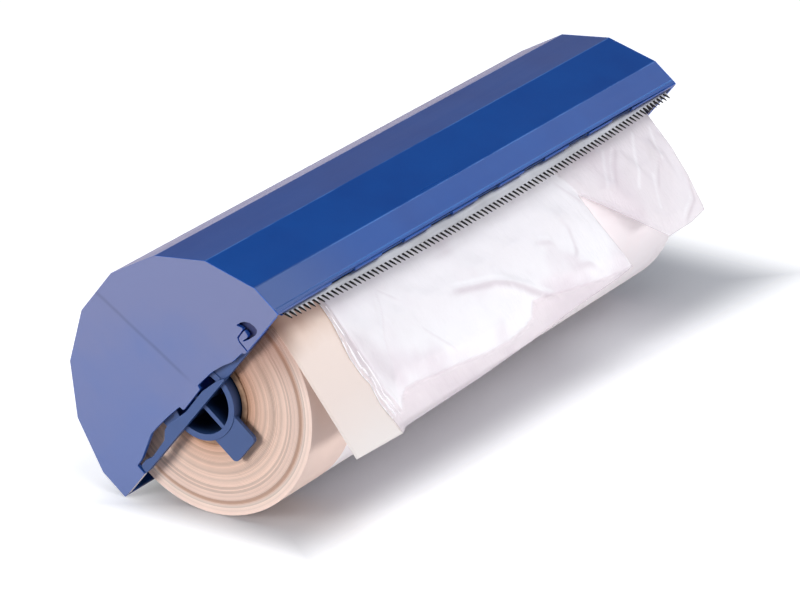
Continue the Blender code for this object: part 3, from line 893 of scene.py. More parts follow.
def make_strip():
    """Strip above the teeth, with a round hole for each peg."""
    back = ledge_bottom - blade_below_ledge
    places = [tooth_pitch * k - blade_half for k in range(tooth_count + 1)]
    edge = [(x, end_root - blade_bow * (1 - (x / blade_half) ** 2)) for x in places]
    lines = [edge + [(blade_half, back), (-blade_half, back)]]
    lines += [circle((x, peg_height), hole_radius, 24) for x in clip_places]
    shape = bmesh.new()
    rims = []
    for line in lines:
        corners = [shape.verts.new((x, -blade_out, z)) for x, z in line]
        rims += [shape.edges.new((corners[k - 1], corners[k])) for k in range(len(corners))]
    filled = bmesh.ops.triangle_fill(shape, use_beauty=True, edges=rims)
    faces = [item for item in filled["geom"] if isinstance(item, bmesh.types.BMFace)]
    return new_object("strip", drawn_out(shape, faces, (0, blade_thickness, 0)), cutter_steel)


teeth = repeat_along(make_tooth(), tooth_count, -blade_half, tooth_pitch, blade_bow)
blade = joined("toothed_blade", [make_strip(), teeth])
blade.data.set_sharp_from_angle(angle=math.radians(25))
place(blade, "housing", "cutter_steel", "cutter_blade")
print("teeth", tooth_count, "at", round(tooth_pitch / mm, 3), "mm")


# %% Retainer strip behind the blade
retainer_depth, retainer_chamfer = 1.1 * mm, 0.5 * mm
retainer_round, retainer_rim = 0.3 * mm, 0.12 * mm
peg_radius, peg_chamfer, peg_sides = 1.4 * mm, 0.15 * mm, 20


def make_retainer():
    front = seam_gap - blade_in
    back = front + retainer_depth
    low, high = -edge_overhang, ledge_bottom - seam_gap
    outline = [(front, low), (front, high), (back, high), (back, low + retainer_chamfer),
               (back - retainer_chamfer, low)]
    strip = prism(rounded(outline, retainer_round), -blade_half, blade_half)
    body = settled(soften(new_object("retainer_strip", strip, cover_plastic), retainer_rim))
    levels = ((front + seat_overlap, peg_radius), (peg_chamfer - blade_out, peg_radius),
              (-blade_out, peg_radius - peg_chamfer))
    rings = [[(x, y, z) for x, z in circle((0, peg_height), radius, peg_sides)] for y, radius in levels]
    pegs = repeat_along(new_object("peg", skin(rings), cover_plastic), len(clip_places), clip_places[0],
                        clip_pitch, 0)
    made = joined("retainer", [body, pegs])
    made.data.set_sharp_from_angle(angle=math.radians(35))
    return made


place(make_retainer(), "housing", "cover_plastic", "blade_retainer")

# %% [markdown]
# ## Roll
#
# The roll is one long web wound on a card tube. At its left end the web is crepe paper tape, and on the
# rest it is very thin film folded many times. Each winding is drawn as one unbroken strip, with a thin
# gap between its turns, and the turns stand a few tenths of a millimetre in or out, as they do on a real
# roll. Two values are stored on the strip for its colours: how far out each turn is, and its own shade.

# %% Winding
web_free_angle = math.radians(13.5)
web_start_angle = math.radians(-9.0)
points_per_turn = 80
winding_gap = 0.15 * mm
turn_wander, turn_setback = 0.02 * mm, 0.2 * mm


def turn_shades(turns, chance):
    """Shade of each turn: slow bands, finer lines in them, some dark turns and pale outer ones."""
    marks = np.arange(0, turns + 7, 4)
    slow = np.interp(np.arange(turns + 3), marks, chance.random(len(marks)))
    lines = np.sin(2 * math.pi * np.arange(turns + 3) / 3.1 + 5 * slow)
    shade = 0.50 + 0.34 * slow + 0.16 * lines
    dark_turns = chance.random(turns + 3) < 0.16
    shade[dark_turns | np.roll(dark_turns, 1)] -= 0.50
    shade[-5:] = 0.9
    return shade


def store(thing, name, values):
    """Keep one number on each vertex for the material to read."""
    kept = thing.data.attributes.new(name, "FLOAT", "POINT")
    kept.data.foreach_set("value", values.astype(np.float32))


def wound_strip(name, x_left, x_right, turns, gap_share, stagger, seed, look):
    """Spiral strip from the core to the roll's outside, with rounded edges and staggered turns."""
    inner = core_bore + core_wall + winding_gap
    pitch = (roll_radius - inner) / (turns + 1 - gap_share)
    thick = pitch * (1 - gap_share)
    chance = np.random.default_rng(seed)
    shade = turn_shades(turns, chance)
    own = chance.normal(0, 1, turns + 3)
    turn = np.arange(turns * points_per_turn + 1) / points_per_turn
    angle = math.pi + web_free_angle - 2 * math.pi * (turns - turn)
    low = inner + pitch * turn
    share = (low - inner) / (roll_radius - inner)
    slow = np.sin(5 * math.pi * share) * np.sin(math.pi * share)
    quick = np.clip(np.interp(turn, np.arange(turns + 3), own), -2, 2)
    left = x_left + stagger * (0.5 + 0.35 * slow) + turn_wander * quick + turn_setback
    left = np.clip(left, x_left, None)
    right = np.full_like(low, x_right)
    cut = 0.14 * thick
    corners = [(left + cut, 0), (left, cut), (left, thick - cut), (left + cut, thick),
               (right - cut, thick), (right, thick - cut), (right, cut), (right - cut, 0)]
    rings = np.stack([np.stack([x, (low + rise) * np.cos(angle), (low + rise) * np.sin(angle)], 1)
                      for x, rise in corners], 1)
    made = new_object(name, skin(rings.tolist()), look)
    made.data.set_sharp_from_angle(angle=math.radians(50))
    store(made, "outward", np.repeat(share, len(corners)))
    store(made, "tone", np.repeat(shade[np.minimum(turn.astype(int), turns)], len(corners)))
    print(name, "has", turns, "turns of", round(pitch / mm, 3), "mm")
    return made


# %% [markdown]
# ## Paper, card and film
#
# The tape is cream crepe paper with fine ripples across its length; a painted shadow darkens its top under
# the cutter and its corner by the end plate. Wound, its cut edges show cream with darker lines, one darker
# band where the roll was once dented, and a painted brown shadow on the side that the plate and the cutter
# shade. The core is grey-brown card. The film is high-density polyethylene a few hundredths of a millimetre
# thick: milky, so that the roll's colour shows through faintly. Where more layers lie on each other it is
# whiter. Painted shade lies over it in soft blotches and under the cutter, painted shade on one side of each
# crease and along its cut edge, and painted highlights where its loose edges and creases catch the light.


# %% Cut edges of the windings
plate_shadow_from, plate_shadow_to = -8 * mm, 19 * mm
paper_grain = 0.03 * mm


def wound_edges(name, stops, rough, plate_shadow):
    """Cut edges of a winding: colour by how far out a turn is, its own shade for each turn, and a painted
    brown shadow where the plate and the cutter shade the face."""
    made, tree, shader = new_material(name, {"IOR": 1.45, "Roughness": rough})
    where = object_place(tree)
    feed(shader, "Base Color", colour_ramp(tree, attribute(tree, "outward"), stops))
    light = scaled(tree, attribute(tree, "tone"), 0.79, 1.12)
    stains = scaled(tree, noise(tree, where, 70.0, 4.0, 0.6), 0.94, 1.05)
    dimmed(tree, shader, product(tree, light, stains))
    # Painted brown shadow of the plate and the cutter on the face.
    near = ranged(tree, in_section(tree, crown_way - 0.6 * back_way), plate_shadow_from, plate_shadow_to, 0.0, plate_shadow)
    on_face = scaled(tree, sideways(tree), 1.0, 0.15)
    blended(tree, shader, product(tree, near, on_face), "#8A5238")
    feed(shader, "Normal", bump(tree, noise(tree, where, 1800.0), paper_grain, 0.5))
    return made


tape_edges = wound_edges("cream_paper_edges", [
    (0.00, "#B0866B"), (0.05, "#CCA48C"), (0.22, "#DDBDAA"), (0.50, "#E3C8B8"), (0.765, "#E3C9BB"),
    (0.79, "#C4A08C"), (0.825, "#CDAB97"), (0.85, "#EDD9CD"), (0.92, "#EAD4C7"), (1.0, "#E8CFC3"),
], 0.80, 0.7)
film_edges = wound_edges("folded_film_edges", [
    (0.00, "#E4DAD8"), (0.5, "#ECE4E3"), (1.0, "#FBF3F4"),
], 0.45, 0.0)
print("edges:", tape_edges.name, film_edges.name)


# %% Card core and the two windings on it
core_setback, core_rim, card_fibre = 0.3 * mm, 0.25 * mm, 0.1 * mm
turn_stagger, web_seam = 0.9 * mm, 0.1 * mm


def core_card(name):
    """Matt card, mottled by its fibres."""
    made, tree, shader = new_material(name, {"IOR": 1.45, "Roughness": 0.88})
    fibres = noise(tree, object_place(tree), 420.0, 6.0, 0.7)
    feed(shader, "Base Color", colour_ramp(tree, fibres, [(0.3, "#86664F"), (0.7, "#AD8A70")]))
    feed(shader, "Normal", bump(tree, fibres, card_fibre, 0.5))
    return made


card_tube = tube(core_bore + core_wall, core_bore, core_setback - roll_half, roll_half, 96)
core = new_object("card_core", card_tube, core_card("grey_brown_card"))
place(soften(core, core_rim), "roll", "grey_card", "core_tube")

seam = tape_width - roll_half
tape_roll = wound_strip("wound_tape", -roll_half, seam, 58, 0.025, turn_stagger, 7, tape_edges)
place(tape_roll, "roll", "paper_tape", "tape_winding")
film_roll = wound_strip("wound_film", seam + web_seam, film_end, 44, 0.03, 0.0, 11, film_edges)
place(film_roll, "roll", "clear_film", "film_winding")

# %% [markdown]
# ## Free end of the web
#
# The loose end leaves the roll on its front side and hangs down straight. The tape was cut on the blade.
# The film beside it has opened out a little: creases run down from the blade, the far corner has split
# off along a notch and flares out. Both sheets are cut from flat outlines on a fine grid, bent onto the
# path of the web, and lifted by their folds.

# %% Path of the web
tape_free_length = 40.0 * mm
film_free_length = 38.6 * mm
roll_width = 2 * roll_half
web_radius = roll_radius + seam_gap
web_top = (web_start_angle - web_free_angle) * web_radius
weld_distance = 0.02 * mm


def web_points(x, s, lift):
    """Points of the web: round the roll while s is negative, then straight down its tangent."""
    angle = web_free_angle + np.minimum(s, 0) / web_radius
    reach, hang = web_radius + lift, np.maximum(s, 0)
    y = -np.cos(angle) * reach + np.sin(angle) * hang
    z = -np.sin(angle) * reach - np.cos(angle) * hang
    return np.stack([x, y, z], 1)


def grid_sheet(outline, step, lift):
    """Cut a flat outline into a fine grid, then bend it onto the path of the web. Each point keeps its
    flat place in millimetres, across and down."""
    shape = bmesh.new()
    shape.faces.new([shape.verts.new((x, s, 0)) for x, s in outline])
    for axis, normal in enumerate(((1, 0, 0), (0, 1, 0))):
        low = min(point[axis] for point in outline)
        high = max(point[axis] for point in outline)
        for k in range(1, int((high - low) / step) + 1):
            where = tuple((low + step * k) * n for n in normal)
            everything = shape.verts[:] + shape.edges[:] + shape.faces[:]
            bmesh.ops.bisect_plane(shape, geom=everything, plane_co=where, plane_no=normal)
    bmesh.ops.remove_doubles(shape, verts=shape.verts, dist=weld_distance)
    area = sum(face.calc_area() for face in shape.faces)
    across = shape.verts.layers.float.new("across")
    down = shape.verts.layers.float.new("down")
    x = np.array([vert.co.x for vert in shape.verts])
    s = np.array([vert.co.y for vert in shape.verts])
    for vert, point in zip(shape.verts, web_points(x, s, lift(x, s))):
        vert[across], vert[down] = vert.co.x / mm, vert.co.y / mm
        vert.co = Vector(point)
    return shape, area


def thicken(thing, thickness):
    """Give a sheet its thickness, half of it to each side."""
    layer = thing.modifiers.new("thickness", "SOLIDIFY")
    layer.thickness = thickness
    layer.offset = 0


print("web is on the roll for", round(-web_top / mm, 1), "mm")


# %% Tape
tape_wave, wave_number = 0.12 * mm, 260
paper_grid, paper_thickness = 1.5 * mm, 0.15 * mm
# The painted corner shadow by the end plate reaches this far across and down the flat tape, in millimetres.
corner_shadow_width, corner_shadow_from, corner_shadow_to = 9.0, -7.0, 8.0


def tape_lift(x, s):
    """The paper is nearly flat, with a slight wave."""
    return tape_wave * np.sin(wave_number * x) * np.maximum(s, 0) / tape_free_length


def crepe_paper(name, stops, corner_shadow):
    """Cream crepe paper: fine ripples across it, a painted shadow at its top under the cutter that fades
    towards its torn end, and a painted brown shadow in the corner by the end plate."""
    made, tree, shader = new_material(name, {"IOR": 1.45, "Roughness": 0.72})
    where, down = object_place(tree), attribute(tree, "down")
    # Painted shadow: the ramp makes the top few millimetres under the cutter darker.
    length = scaled(tree, down, 0.0, 1.0, -8.0, tape_free_length / mm)
    blotches = scaled(tree, noise(tree, where, 60.0, 5.0, 0.6), -0.12, 0.12)
    feed(shader, "Base Color", colour_ramp(tree, calculated(tree, "ADD", length, blotches), stops))
    # Painted brown shadow in the corner by the end plate.
    edge = tape_left / mm
    left = ranged(tree, attribute(tree, "across"), edge, edge + corner_shadow_width, 1.0, 0.0)
    top = ranged(tree, down, corner_shadow_from, corner_shadow_to, 0.75, 0.0)
    blended(tree, shader, product(tree, left, top), corner_shadow)
    ripples = noise(tree, where, 1500.0, stretch=(0.25, 1, 1))
    feed(shader, "Normal", bump(tree, ripples, paper_grain, 0.6))
    return made


free_paper = crepe_paper("cream_crepe_paper", [
    (0.0, "#CDAA98"), (0.15, "#E6D0C2"), (0.26, "#EEDDD3"), (0.60, "#EADBD3"), (1.0, "#EAE3DF"),
], "#8E6A5A")
tape_right = tape_left + tape_width
torn_left, torn_right = 39.3 * mm, 40.1 * mm
paper_outline = [(tape_left, web_top), (tape_left, torn_left), (tape_right, torn_right),
                 (tape_right, web_top)]
shape, paper_area = grid_sheet(paper_outline, paper_grid, tape_lift)
free_tape = new_object("free_tape_end", shape, free_paper)
thicken(free_tape, paper_thickness)
place(free_tape, "cradle", "paper_tape", "free_tape")
print("tape area", round(paper_area * 1e4, 1), "cm2")


# %% Film material
wrinkle_depth = 1.0 * mm


def milky_film(name):
    """Thin polyethylene: whiter where more layers lie on each other, clearer where there is one. Painted
    shade in soft blotches and under the cutter, painted shade and highlights along its creases and edges.
    Light goes through it well, so its shadow is weak."""
    made, tree, shader = new_material(name, {"IOR": 1.53, "Roughness": 0.34})
    where, layers, lines = object_place(tree), attribute(tree, "layers"), attribute(tree, "creased")
    tint = colour_ramp(tree, layers, [(0.0, "#F3EAEE"), (0.62, "#F3EDF0"), (1.0, "#FDFBFD")])
    feed(shader, "Base Color", tint)
    # Painted shade in soft blotches for the billowing film.
    billow_shade = noise(tree, where, 26.0, 3.0, 0.55)
    blended(tree, shader, ranged(tree, billow_shade, 0.47, 0.66, 0.0, 0.75), "#EADFE5")
    # Painted shadow under the cutter, fading down the film.
    blended(tree, shader, ranged(tree, attribute(tree, "down"), 6.0, 26.0, 0.40, 0.0), "#ECE6EA")
    # Painted shade on one side of each crease and along the cut edge, then painted highlights, made more
    # opaque.
    blended(tree, shader, scaled(tree, lines, 0.0, 0.75), "#D2C6CD")
    bright = ranged(tree, lines, -0.7, -0.1, 1.0, 0.0)
    blended(tree, shader, bright, "#FFFDFF")
    milk = scaled(tree, noise(tree, where, 45.0, 3.0, 0.55), -0.09, 0.09)
    alpha = calculated(tree, "ADD", scaled(tree, layers, 0.42, 0.93), milk)
    alpha = calculated(tree, "MAXIMUM", alpha, scaled(tree, bright, 0.0, 0.9))
    shadow = add_node(tree, "ShaderNodeLightPath").outputs["Is Shadow Ray"]
    feed(shader, "Alpha", product(tree, alpha, scaled(tree, shadow, 1.0, 0.6)))
    wrinkles = noise(tree, where, 150.0, 5.0, 0.6, stretch=(1.6, 0.6, 0.6))
    feed(shader, "Normal", bump(tree, wrinkles, wrinkle_depth, 0.7))
    return made


clear_film = milky_film("milky_thin_film")
print("film:", clear_film.name)

# %% [markdown]
# The film's outline and creases are given in millimetres on the flat web: first along the roll, then down
# from the line where the web leaves the roll. Two folded parts hold more layers than the rest. A fold is
# two ends, a width and a height, as shares of the roll's width and the film's length. A crease is a height,
# a width and its points; besides its lift it gets painted shade on one side and a painted highlight on the
# other. A bright edge is a painted highlight line: a strength, a width and its points.

# %% Outline, folds and creases of the film
film_left_edge = [(-92.1, -9.0), (-92.1, -5.3), (-92.3, 0.3), (-93.1, 6.4), (-93.9, 12.4), (-93.2, 19.0),
                  (-92.1, 22.0), (-93.0, 29.0), (-91.9, 34.5), (-91.1, 40.0)]
film_low_edge = [(-87.4, 38.8), (-45.0, 38.4), (-11.0, 37.4), (17.0, 36.0), (45.6, 35.2), (53.8, 34.5)]
film_notch = [(52.0, 26.0), (50.2, 17.0), (48.9, 9.5), (49.2, 5.4), (56.3, 11.1), (67.7, 21.2),
              (79.4, 32.6)]
film_flap_edge = [(94.1, 32.5), (103.1, 31.3), (106.1, 18.5), (107.4, 1.2), (107.0, -5.2)]
many_layers = [
    [(-89.2, -40), (-89.2, -4.0), (-89.1, 2.9), (-88.3, 10.9), (-87.4, 15.9), (-87.5, 26.3), (-85.3, 35.0),
     (-81.8, 30.9), (-78.6, 29.4), (-71.7, 29.4), (-61.5, 30.7), (-50.8, 31.5), (-34.6, 33.4), (-22.5, 34.1),
     (-11.0, 32.9), (-6.0, 31.5), (-1.6, 27.3), (3.6, 27.9), (17.2, 29.9), (30.1, 32.1), (41.8, 33.8),
     (53.7, 34.5), (56.0, 30.0), (52.0, 9.5), (46.0, -3.3), (46.0, -40)],
    [(46.0, -40), (46.0, -3.3), (47.0, 3.0), (56.3, 10.0), (67.7, 20.2), (79.1, 33.4), (94.1, 33.4),
     (106.0, 33.0), (110.0, 18.5), (110.0, -40)],
]
film_fold_shares = [
    (0.116, -0.118, 0.145, 0.447, 0.071, 0.014), (0.145, 0.118, 0.162, 0.918, 0.094, 0.024),
    (0.197, -0.059, 0.270, 0.941, 0.106, 0.019), (0.250, 0.059, 0.417, 0.647, 0.094, 0.016),
    (0.375, -0.059, 0.510, 0.847, 0.129, 0.026), (0.490, 0.118, 0.615, 0.706, 0.094, 0.016),
    (0.583, -0.059, 0.709, 0.529, 0.082, 0.019), (0.761, -0.059, 0.803, 0.412, 0.071, 0.019),
    (0.844, -0.059, 0.876, 0.706, 0.082, 0.024), (0.917, 0.000, 0.930, 0.729, 0.071, 0.028),
]
film_creases = [
    (0.9, 2.4, [(-38.0, 10.2), (-26.7, 12.7), (-16.2, 15.0), (-9.7, 17.7), (-4.0, 21.3), (11.8, 30.7)]),
    (0.5, 1.4, [(-10.5, 16.3), (-2.3, 20.9), (7.1, 28.7)]),
    (0.4, 1.0, [(-58.5, 9.7), (-57.7, 16.1), (-51.6, 23.4), (-47.8, 27.7)]),
    (0.4, 0.9, [(-66.1, -2.1), (-70.9, 4.9), (-76.8, 12.0), (-79.7, 16.4), (-81.5, 27.0)]),
    (0.4, 0.9, [(-65.7, -2.5), (-59.8, 4.7)]),
    (0.5, 0.9, [(-89.8, 2.4), (-90.4, 13.3), (-89.5, 24.0)]),
    (0.4, 0.7, [(-88.1, 29.5), (-88.7, 33.6)]),
    (0.4, 0.7, [(-86.7, 28.6), (-87.1, 35.7)]),
    (0.4, 0.9, [(-93.3, 31.9), (-91.2, 39.7)]),
    (0.5, 1.0, [(-91.2, -5.8), (-91.9, 5.1), (-92.2, 11.5)]),
    (0.6, 1.6, [(82.2, -3.2), (72.5, 3.3), (65.1, 10.5)]),
    (0.5, 1.2, [(82.5, -2.4), (80.0, 4.4)]),
    (0.6, 1.4, [(99.0, 0.0), (92.8, 10.5), (85.3, 17.7)]),
    (0.5, 1.2, [(96.9, 4.1), (92.7, 13.8)]),
    (0.8, 1.8, [(105.0, -1.8), (105.7, 7.3), (103.2, 18.6), (99.1, 26.0), (92.8, 29.2), (88.8, 32.2)]),
    (0.4, 1.0, [(97.5, 24.0), (95.0, 28.7)]),
    (0.7, 2.6, [(31.2, 4.2), (31.7, 12.4), (29.6, 19.6), (24.6, 23.6)]),
    (0.6, 2.2, [(24.8, 24.2), (32.4, 25.5), (37.7, 29.0)]),
    (0.5, 1.8, [(12.4, 10.6), (21.0, 13.3), (23.1, 17.2)]),
    (0.6, 1.6, [(41.7, -3.3), (44.7, 3.2), (48.9, 9.5)]),
    (0.5, 1.4, [(52.2, -3.9), (52.1, -0.6), (54.1, 4.4)]),
]
bright_edges = [
    (1.0, 0.45, film_left_edge[:-1]),
    (1.0, 0.45, [(-90.4, -5.0), (-90.9, 3.0), (-91.7, 9.0), (-91.6, 15.5), (-90.2, 21.0), (-90.8, 27.0),
                 (-89.4, 34.0)]),
    (1.0, 0.45, [(-88.6, 12.0), (-87.9, 20.0), (-88.4, 27.0), (-87.2, 34.5)]),
    (1.0, 0.45, [(49.6, 10.0), (51.6, 20.0), (53.6, 33.8)]),
    (0.5, 1.0, [(93.5, -3.0), (84.5, 6.0), (78.0, 13.5)]),
    (0.5, 0.9, [(103.8, -2.0), (99.8, 4.0), (96.8, 9.0)]),
    (0.45, 0.9, [(88.5, 12.0), (84.5, 17.5), (82.0, 23.0)]),
    (0.4, 1.1, [(74.0, -3.0), (68.0, 3.0), (63.0, 8.0)]),
]
print("film has", len(film_fold_shares), "folds,", len(film_creases), "creases and", len(bright_edges),
      "bright edges")


# %% Distances on the flat film
def ease(value):
    """Soft step from 0 to 1."""
    value = np.clip(value, 0, 1)
    return value * value * (3 - 2 * value)


def to_piece(x, s, one, two):
    """Distance of points from a straight piece of a line, and how far along it they lie."""
    (x0, s0), (x1, s1) = one, two
    run_x, run_s = x1 - x0, s1 - s0
    along = np.clip(((x - x0) * run_x + (s - s0) * run_s) / (run_x ** 2 + run_s ** 2), 0, 1)
    return np.hypot(x - x0 - run_x * along, s - s0 - run_s * along), along


def to_line(x, s, line):
    """Distance of points from a bent line."""
    return np.min([to_piece(x, s, one, two)[0] for one, two in zip(line, line[1:])], axis=0)


def taper(x, s, line, wide, least):
    """Soft fall of a crease towards both of its ends."""
    (x0, s0), (x1, s1) = line[0], line[-1]
    nearest_end = np.minimum(np.hypot(x - x0, s - s0), np.hypot(x - x1, s - s1))
    return ease(nearest_end / (3 * wide) + least)


def depth_inside(x, s, corners):
    """Distance from the rim of a closed outline, positive inside it."""
    closed = corners + corners[:1]
    inside = np.zeros(len(x), bool)
    for (x0, s0), (x1, s1) in zip(closed, closed[1:]):
        if s0 != s1:
            crossing = x0 + (s - s0) * (x1 - x0) / (s1 - s0)
            inside ^= ((s0 > s) != (s1 > s)) & (x < crossing)
    nearest = to_line(x, s, closed)
    return np.where(inside, nearest, -nearest)


# %% Heights over the smooth web, and marks of the creases
layer_rise, layer_slope = 1.6 * mm, 7
over_tape, over_tape_edge = 0.35 * mm, -89
flare_height, flare_share = 2.6 * mm, 0.312
flat_top_share, fade_share = -0.024, 0.236
# Where the painted shade and painted highlight of a crease lie beside it, and how soft they are.
dark_side_share, bright_side_share, crease_blur = 0.35, 0.55, 0.25


def film_lift(x, s):
    """Billows of the folded parts, folds, creases, and the flare of the far corner."""
    flat_x, flat_s = x / mm, s / mm
    share_x, share_s = (x + roll_half) / roll_width, s / film_free_length
    fade = np.clip((share_s - flat_top_share) / fade_share, 0, 1)
    height = np.zeros_like(x)
    for x0, s0, x1, s1, width, tall in film_fold_shares:
        one = (x0 * roll_width - roll_half, s0 * film_free_length)
        two = (x1 * roll_width - roll_half, s1 * film_free_length)
        away, along = to_piece(x, s, one, two)
        ridge = np.exp(-(away / (width * film_free_length)) ** 2) * np.cos(math.pi / 2 * along)
        height += tall * film_free_length * ridge
    lift = fade * height + np.where(flat_x < over_tape_edge, over_tape, 0)
    for tall, wide, line in film_creases:
        fold = np.exp(-(to_line(flat_x, flat_s, line) / wide) ** 1.4)
        lift += tall * mm * taper(flat_x, flat_s, line, wide, 0.25) * fold * ease(fade + 0.3)
    for corners in many_layers:
        lift += layer_rise * ease(depth_inside(flat_x, flat_s, corners) / layer_slope) * fade
    to_corner = np.clip((share_x - 1) / flare_share + 1, 0, None)
    return lift + flare_height * np.clip(share_s, 0, None) ** 2 * to_corner


def painted_crease_light(x, s):
    """How each place is painted: above 0 with painted shade on the dark side of a crease, below 0 with a
    painted highlight beside it or on a bright edge.
    """
    dark, bright = np.zeros(len(x)), np.zeros(len(x))
    for tall, wide, line in film_creases:
        reach, fall = 0.38 * wide + crease_blur, taper(x, s, line, wide, 0.1)
        dark_side = to_line(x, s - dark_side_share * wide, line)
        bright_side = to_line(x, s + bright_side_share * wide + crease_blur, line)
        dark = np.maximum(dark, tall * fall * np.exp(-(dark_side / reach) ** 2))
        bright = np.maximum(bright, (0.30 + 0.25 * tall) * fall * np.exp(-(bright_side / reach) ** 2))
    for most, wide, line in bright_edges:
        bright = np.maximum(bright, most * np.exp(-(to_line(x, s, line) / wide) ** 2))
    return np.clip(dark - bright, -1, 1)


print("far corner of the film flares out by", round(flare_height / mm, 1), "mm")

# %% Film
film_grid, film_thickness = 0.75 * mm, 0.06 * mm
layer_shares, layer_outside, layer_blur = (1.0, 0.62), 0.6, 1.6
rim_width, rim_mark, bright_limit = 0.15, 0.55, -0.15
flat_outline = film_left_edge + film_low_edge + film_notch + film_flap_edge
flat_outline[0] = (flat_outline[0][0], web_top / mm)
flat_outline.append((flat_outline[-1][0], web_top / mm))
film_outline = [(x * mm, s * mm) for x, s in flat_outline]
shape, film_area = grid_sheet(film_outline, film_grid, film_lift)
free_film = new_object("free_film_end", shape, clear_film)
flat_x, flat_s = np.zeros((2, len(free_film.data.vertices)))
free_film.data.attributes["across"].data.foreach_get("value", flat_x)
free_film.data.attributes["down"].data.foreach_get("value", flat_s)
layers = sum(share * ease((depth_inside(flat_x, flat_s, corners) + layer_outside) / layer_blur)
             for share, corners in zip(layer_shares, many_layers))
store(free_film, "layers", np.clip(layers, 0, 1))
creased = painted_crease_light(flat_x, flat_s)
# Painted shade along the film's cut edge, unless a painted highlight lies there.
on_rim = (depth_inside(flat_x, flat_s, flat_outline) < rim_width) & (creased > bright_limit)
store(free_film, "creased", np.where(on_rim, np.maximum(creased, rim_mark), creased))
thicken(free_film, film_thickness)
place(free_film, "cradle", "clear_film", "free_film")
print("film area", round(film_area * 1e4, 1), "cm2")

# %% [markdown]
# ## Floor, light and camera
#
# A white paper sweep in a product studio. One large soft lamp hangs above, a little in front and to the
# left. A panel at the left, a little behind, lights the end plate and the roll's face and throws the long
# soft shadow to the right. A low panel in front lights the hanging web, and a weak bluish one at the right
# the far end. The horizon is bright and slightly pink, and the ceiling dark and bluish, so that the flat
# facets take different shades from what they reflect. Away from the shadow the floor is pure white for
# the eye and in reflections, as in the photograph; near the object it keeps its own shade and the shadow.

# %% Floor
floor_half = 4
floor_corners = [(x * floor_half, y * floor_half, 0) for x, y in ((-1, -1), (1, -1), (1, 1), (-1, 1))]
floor_mesh = bpy.data.meshes.new("floor")
floor_mesh.from_pydata(floor_corners, [], [(0, 1, 2, 3)])
floor = linked("floor", floor_mesh)
floor_look, floor_tree, floor_shader = new_material("white_paper_sweep", {
    "Base Color": hex_colour("#D0D1D4"), "Roughness": 0.9, "Specular IOR Level": 0.1,
    "Emission Color": (1, 1, 1, 1)})
# Ways out from the object, and the distances over which the floor's glow turns it white on each. These
# ramps paint where the shadow fades out.
white_beyond = [((-0.05, -1, 0), 29 * mm, 62 * mm), ((-1, 0, 0), 112 * mm, 137 * mm),
                ((0, 1, 0), 10 * mm, 50 * mm), ((1, 0, 0), 135 * mm, 175 * mm)]


def highest(tree, first, *others):
    for other in others:
        first = calculated(tree, "MAXIMUM", first, other)
    return first


def brighter_away(tree, reach):
    """Extra white for the eye and for reflections, which grows away from the shadow on each side."""
    where = object_place(tree)
    sides = [ranged(tree, along_way(tree, where, way), start, end) for way, start, end in white_beyond]
    path = add_node(tree, "ShaderNodeLightPath").outputs
    seen = highest(tree, path["Is Camera Ray"], path["Is Glossy Ray"], path["Is Transmission Ray"])
    distance = add_node(tree, "ShaderNodeVectorMath", {"operation": "LENGTH"},
                        links={0: where}).outputs["Value"]
    return product(tree, highest(tree, *sides), seen, ranged(tree, distance, 0.5, 1.5, reach, 1.0))


feed(floor_shader, "Emission Strength", brighter_away(floor_tree, 0.74))
# In reflections the floor's glow is tinted pink: a painted reflection colour.
floor_glossy = add_node(floor_tree, "ShaderNodeLightPath").outputs["Is Glossy Ray"]
floor_tint = add_node(floor_tree, "ShaderNodeMix", {"data_type": "RGBA"},
                      {6: hex_colour("#FFFFFF"), 7: hex_colour("#FFEAEC")}, {0: floor_glossy})
feed(floor_shader, "Emission Color", floor_tint.outputs[2])
floor_mesh.materials.append(floor_look)
print("floor is", 2 * floor_half, "m wide")

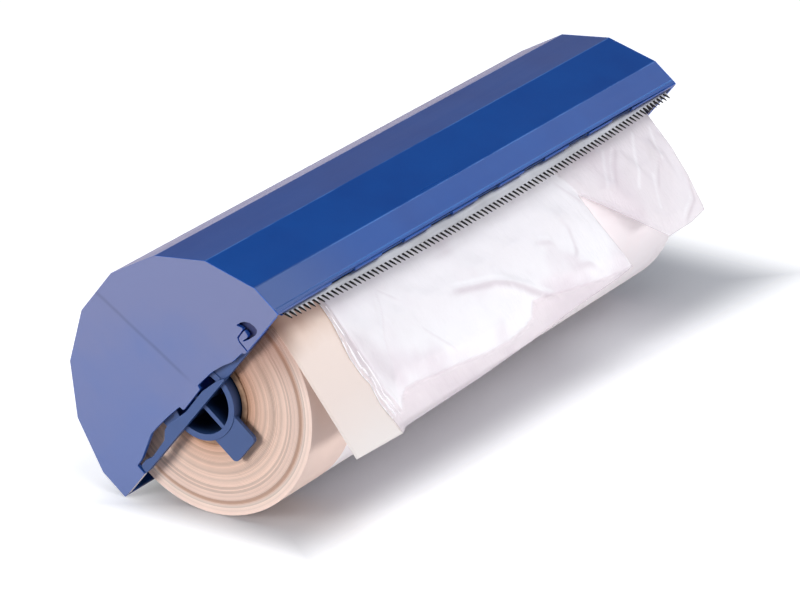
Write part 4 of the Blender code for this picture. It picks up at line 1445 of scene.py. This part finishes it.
# %% World: white to the camera, and a bright horizon under a dark ceiling for the rest
world = bpy.data.worlds.new("studio")
bpy.context.scene.world = world
world.use_nodes = True
sky = world.node_tree
background = sky.nodes["Background"]
path = add_node(sky, "ShaderNodeLightPath").outputs
seen = highest(sky, path["Is Camera Ray"], path["Is Transmission Ray"])
height = part_of(sky, add_node(sky, "ShaderNodeTexCoord").outputs["Generated"], "Z")
studio = ranged(sky, height, 0.10, 0.45, 0.45, 0.11)
mixed = add_node(sky, "ShaderNodeMix", {"data_type": "FLOAT"}, {3: 1.0}, {0: seen, 2: studio})
feed(background, "Strength", mixed.outputs[0])
shade = colour_ramp(sky, height, [(0.10, "#FFF0F6"), (0.35, "#D2E4FF")])
tinted = add_node(sky, "ShaderNodeMix", {"data_type": "RGBA"}, {7: (1, 1, 1, 1)}, {0: seen, 6: shade})
feed(background, "Color", tinted.outputs[2])
print("world:", world.name)

# %% Lamps
middle = Vector((0, 0, 40 * mm))
lamps = [
    ("key", (-0.12, -0.31, 1.0), (0.8, 0.7), 6.0, "#FFFFFF"),
    ("left panel", (-1.05, 0.45, 0.30), (0.5, 0.35), 9.4, "#FFFFFF"),
    ("front panel", (0.15, -1.2, 0.16), (0.9, 0.26), 7.2, "#FFFFFF"),
    ("right panel", (1.25, -0.40, 0.95), (0.8, 0.6), 2.1, "#E8F0FF"),
]
for name, spot, size, power, code in lamps:
    data = bpy.data.lights.new(name, "AREA")
    data.shape = "RECTANGLE"
    data.size, data.size_y = size
    data.energy = power
    data.color = hex_colour(code)[:3]
    lamp = linked(name, data)
    lamp.location = spot
    lamp.rotation_euler = (middle - Vector(spot)).to_track_quat("-Z", "Y").to_euler()
    print(name, "gives", power, "W")

# %% Camera
camera_data = bpy.data.cameras.new("camera")
camera_data.sensor_width = 36
camera_data.lens = 211.5
camera = linked("camera", camera_data)
camera_spot = Vector((-1.1862, -0.9196, -0.2435))
right = section.to_3x3() @ Vector((0.5399, -0.5170, -0.6642))
down = section.to_3x3() @ Vector((-0.3224, 0.6019, -0.7306))
ahead = right.cross(down)
camera.location = section @ camera_spot
camera.rotation_mode = "QUATERNION"
camera.rotation_quaternion = Matrix((right, -down, -ahead)).transposed().to_4x4().to_quaternion()
bpy.context.scene.camera = camera
bpy.context.scene.view_settings.view_transform = "Standard"
print("camera stands", round(camera_spot.length, 2), "m from the roll's axis")
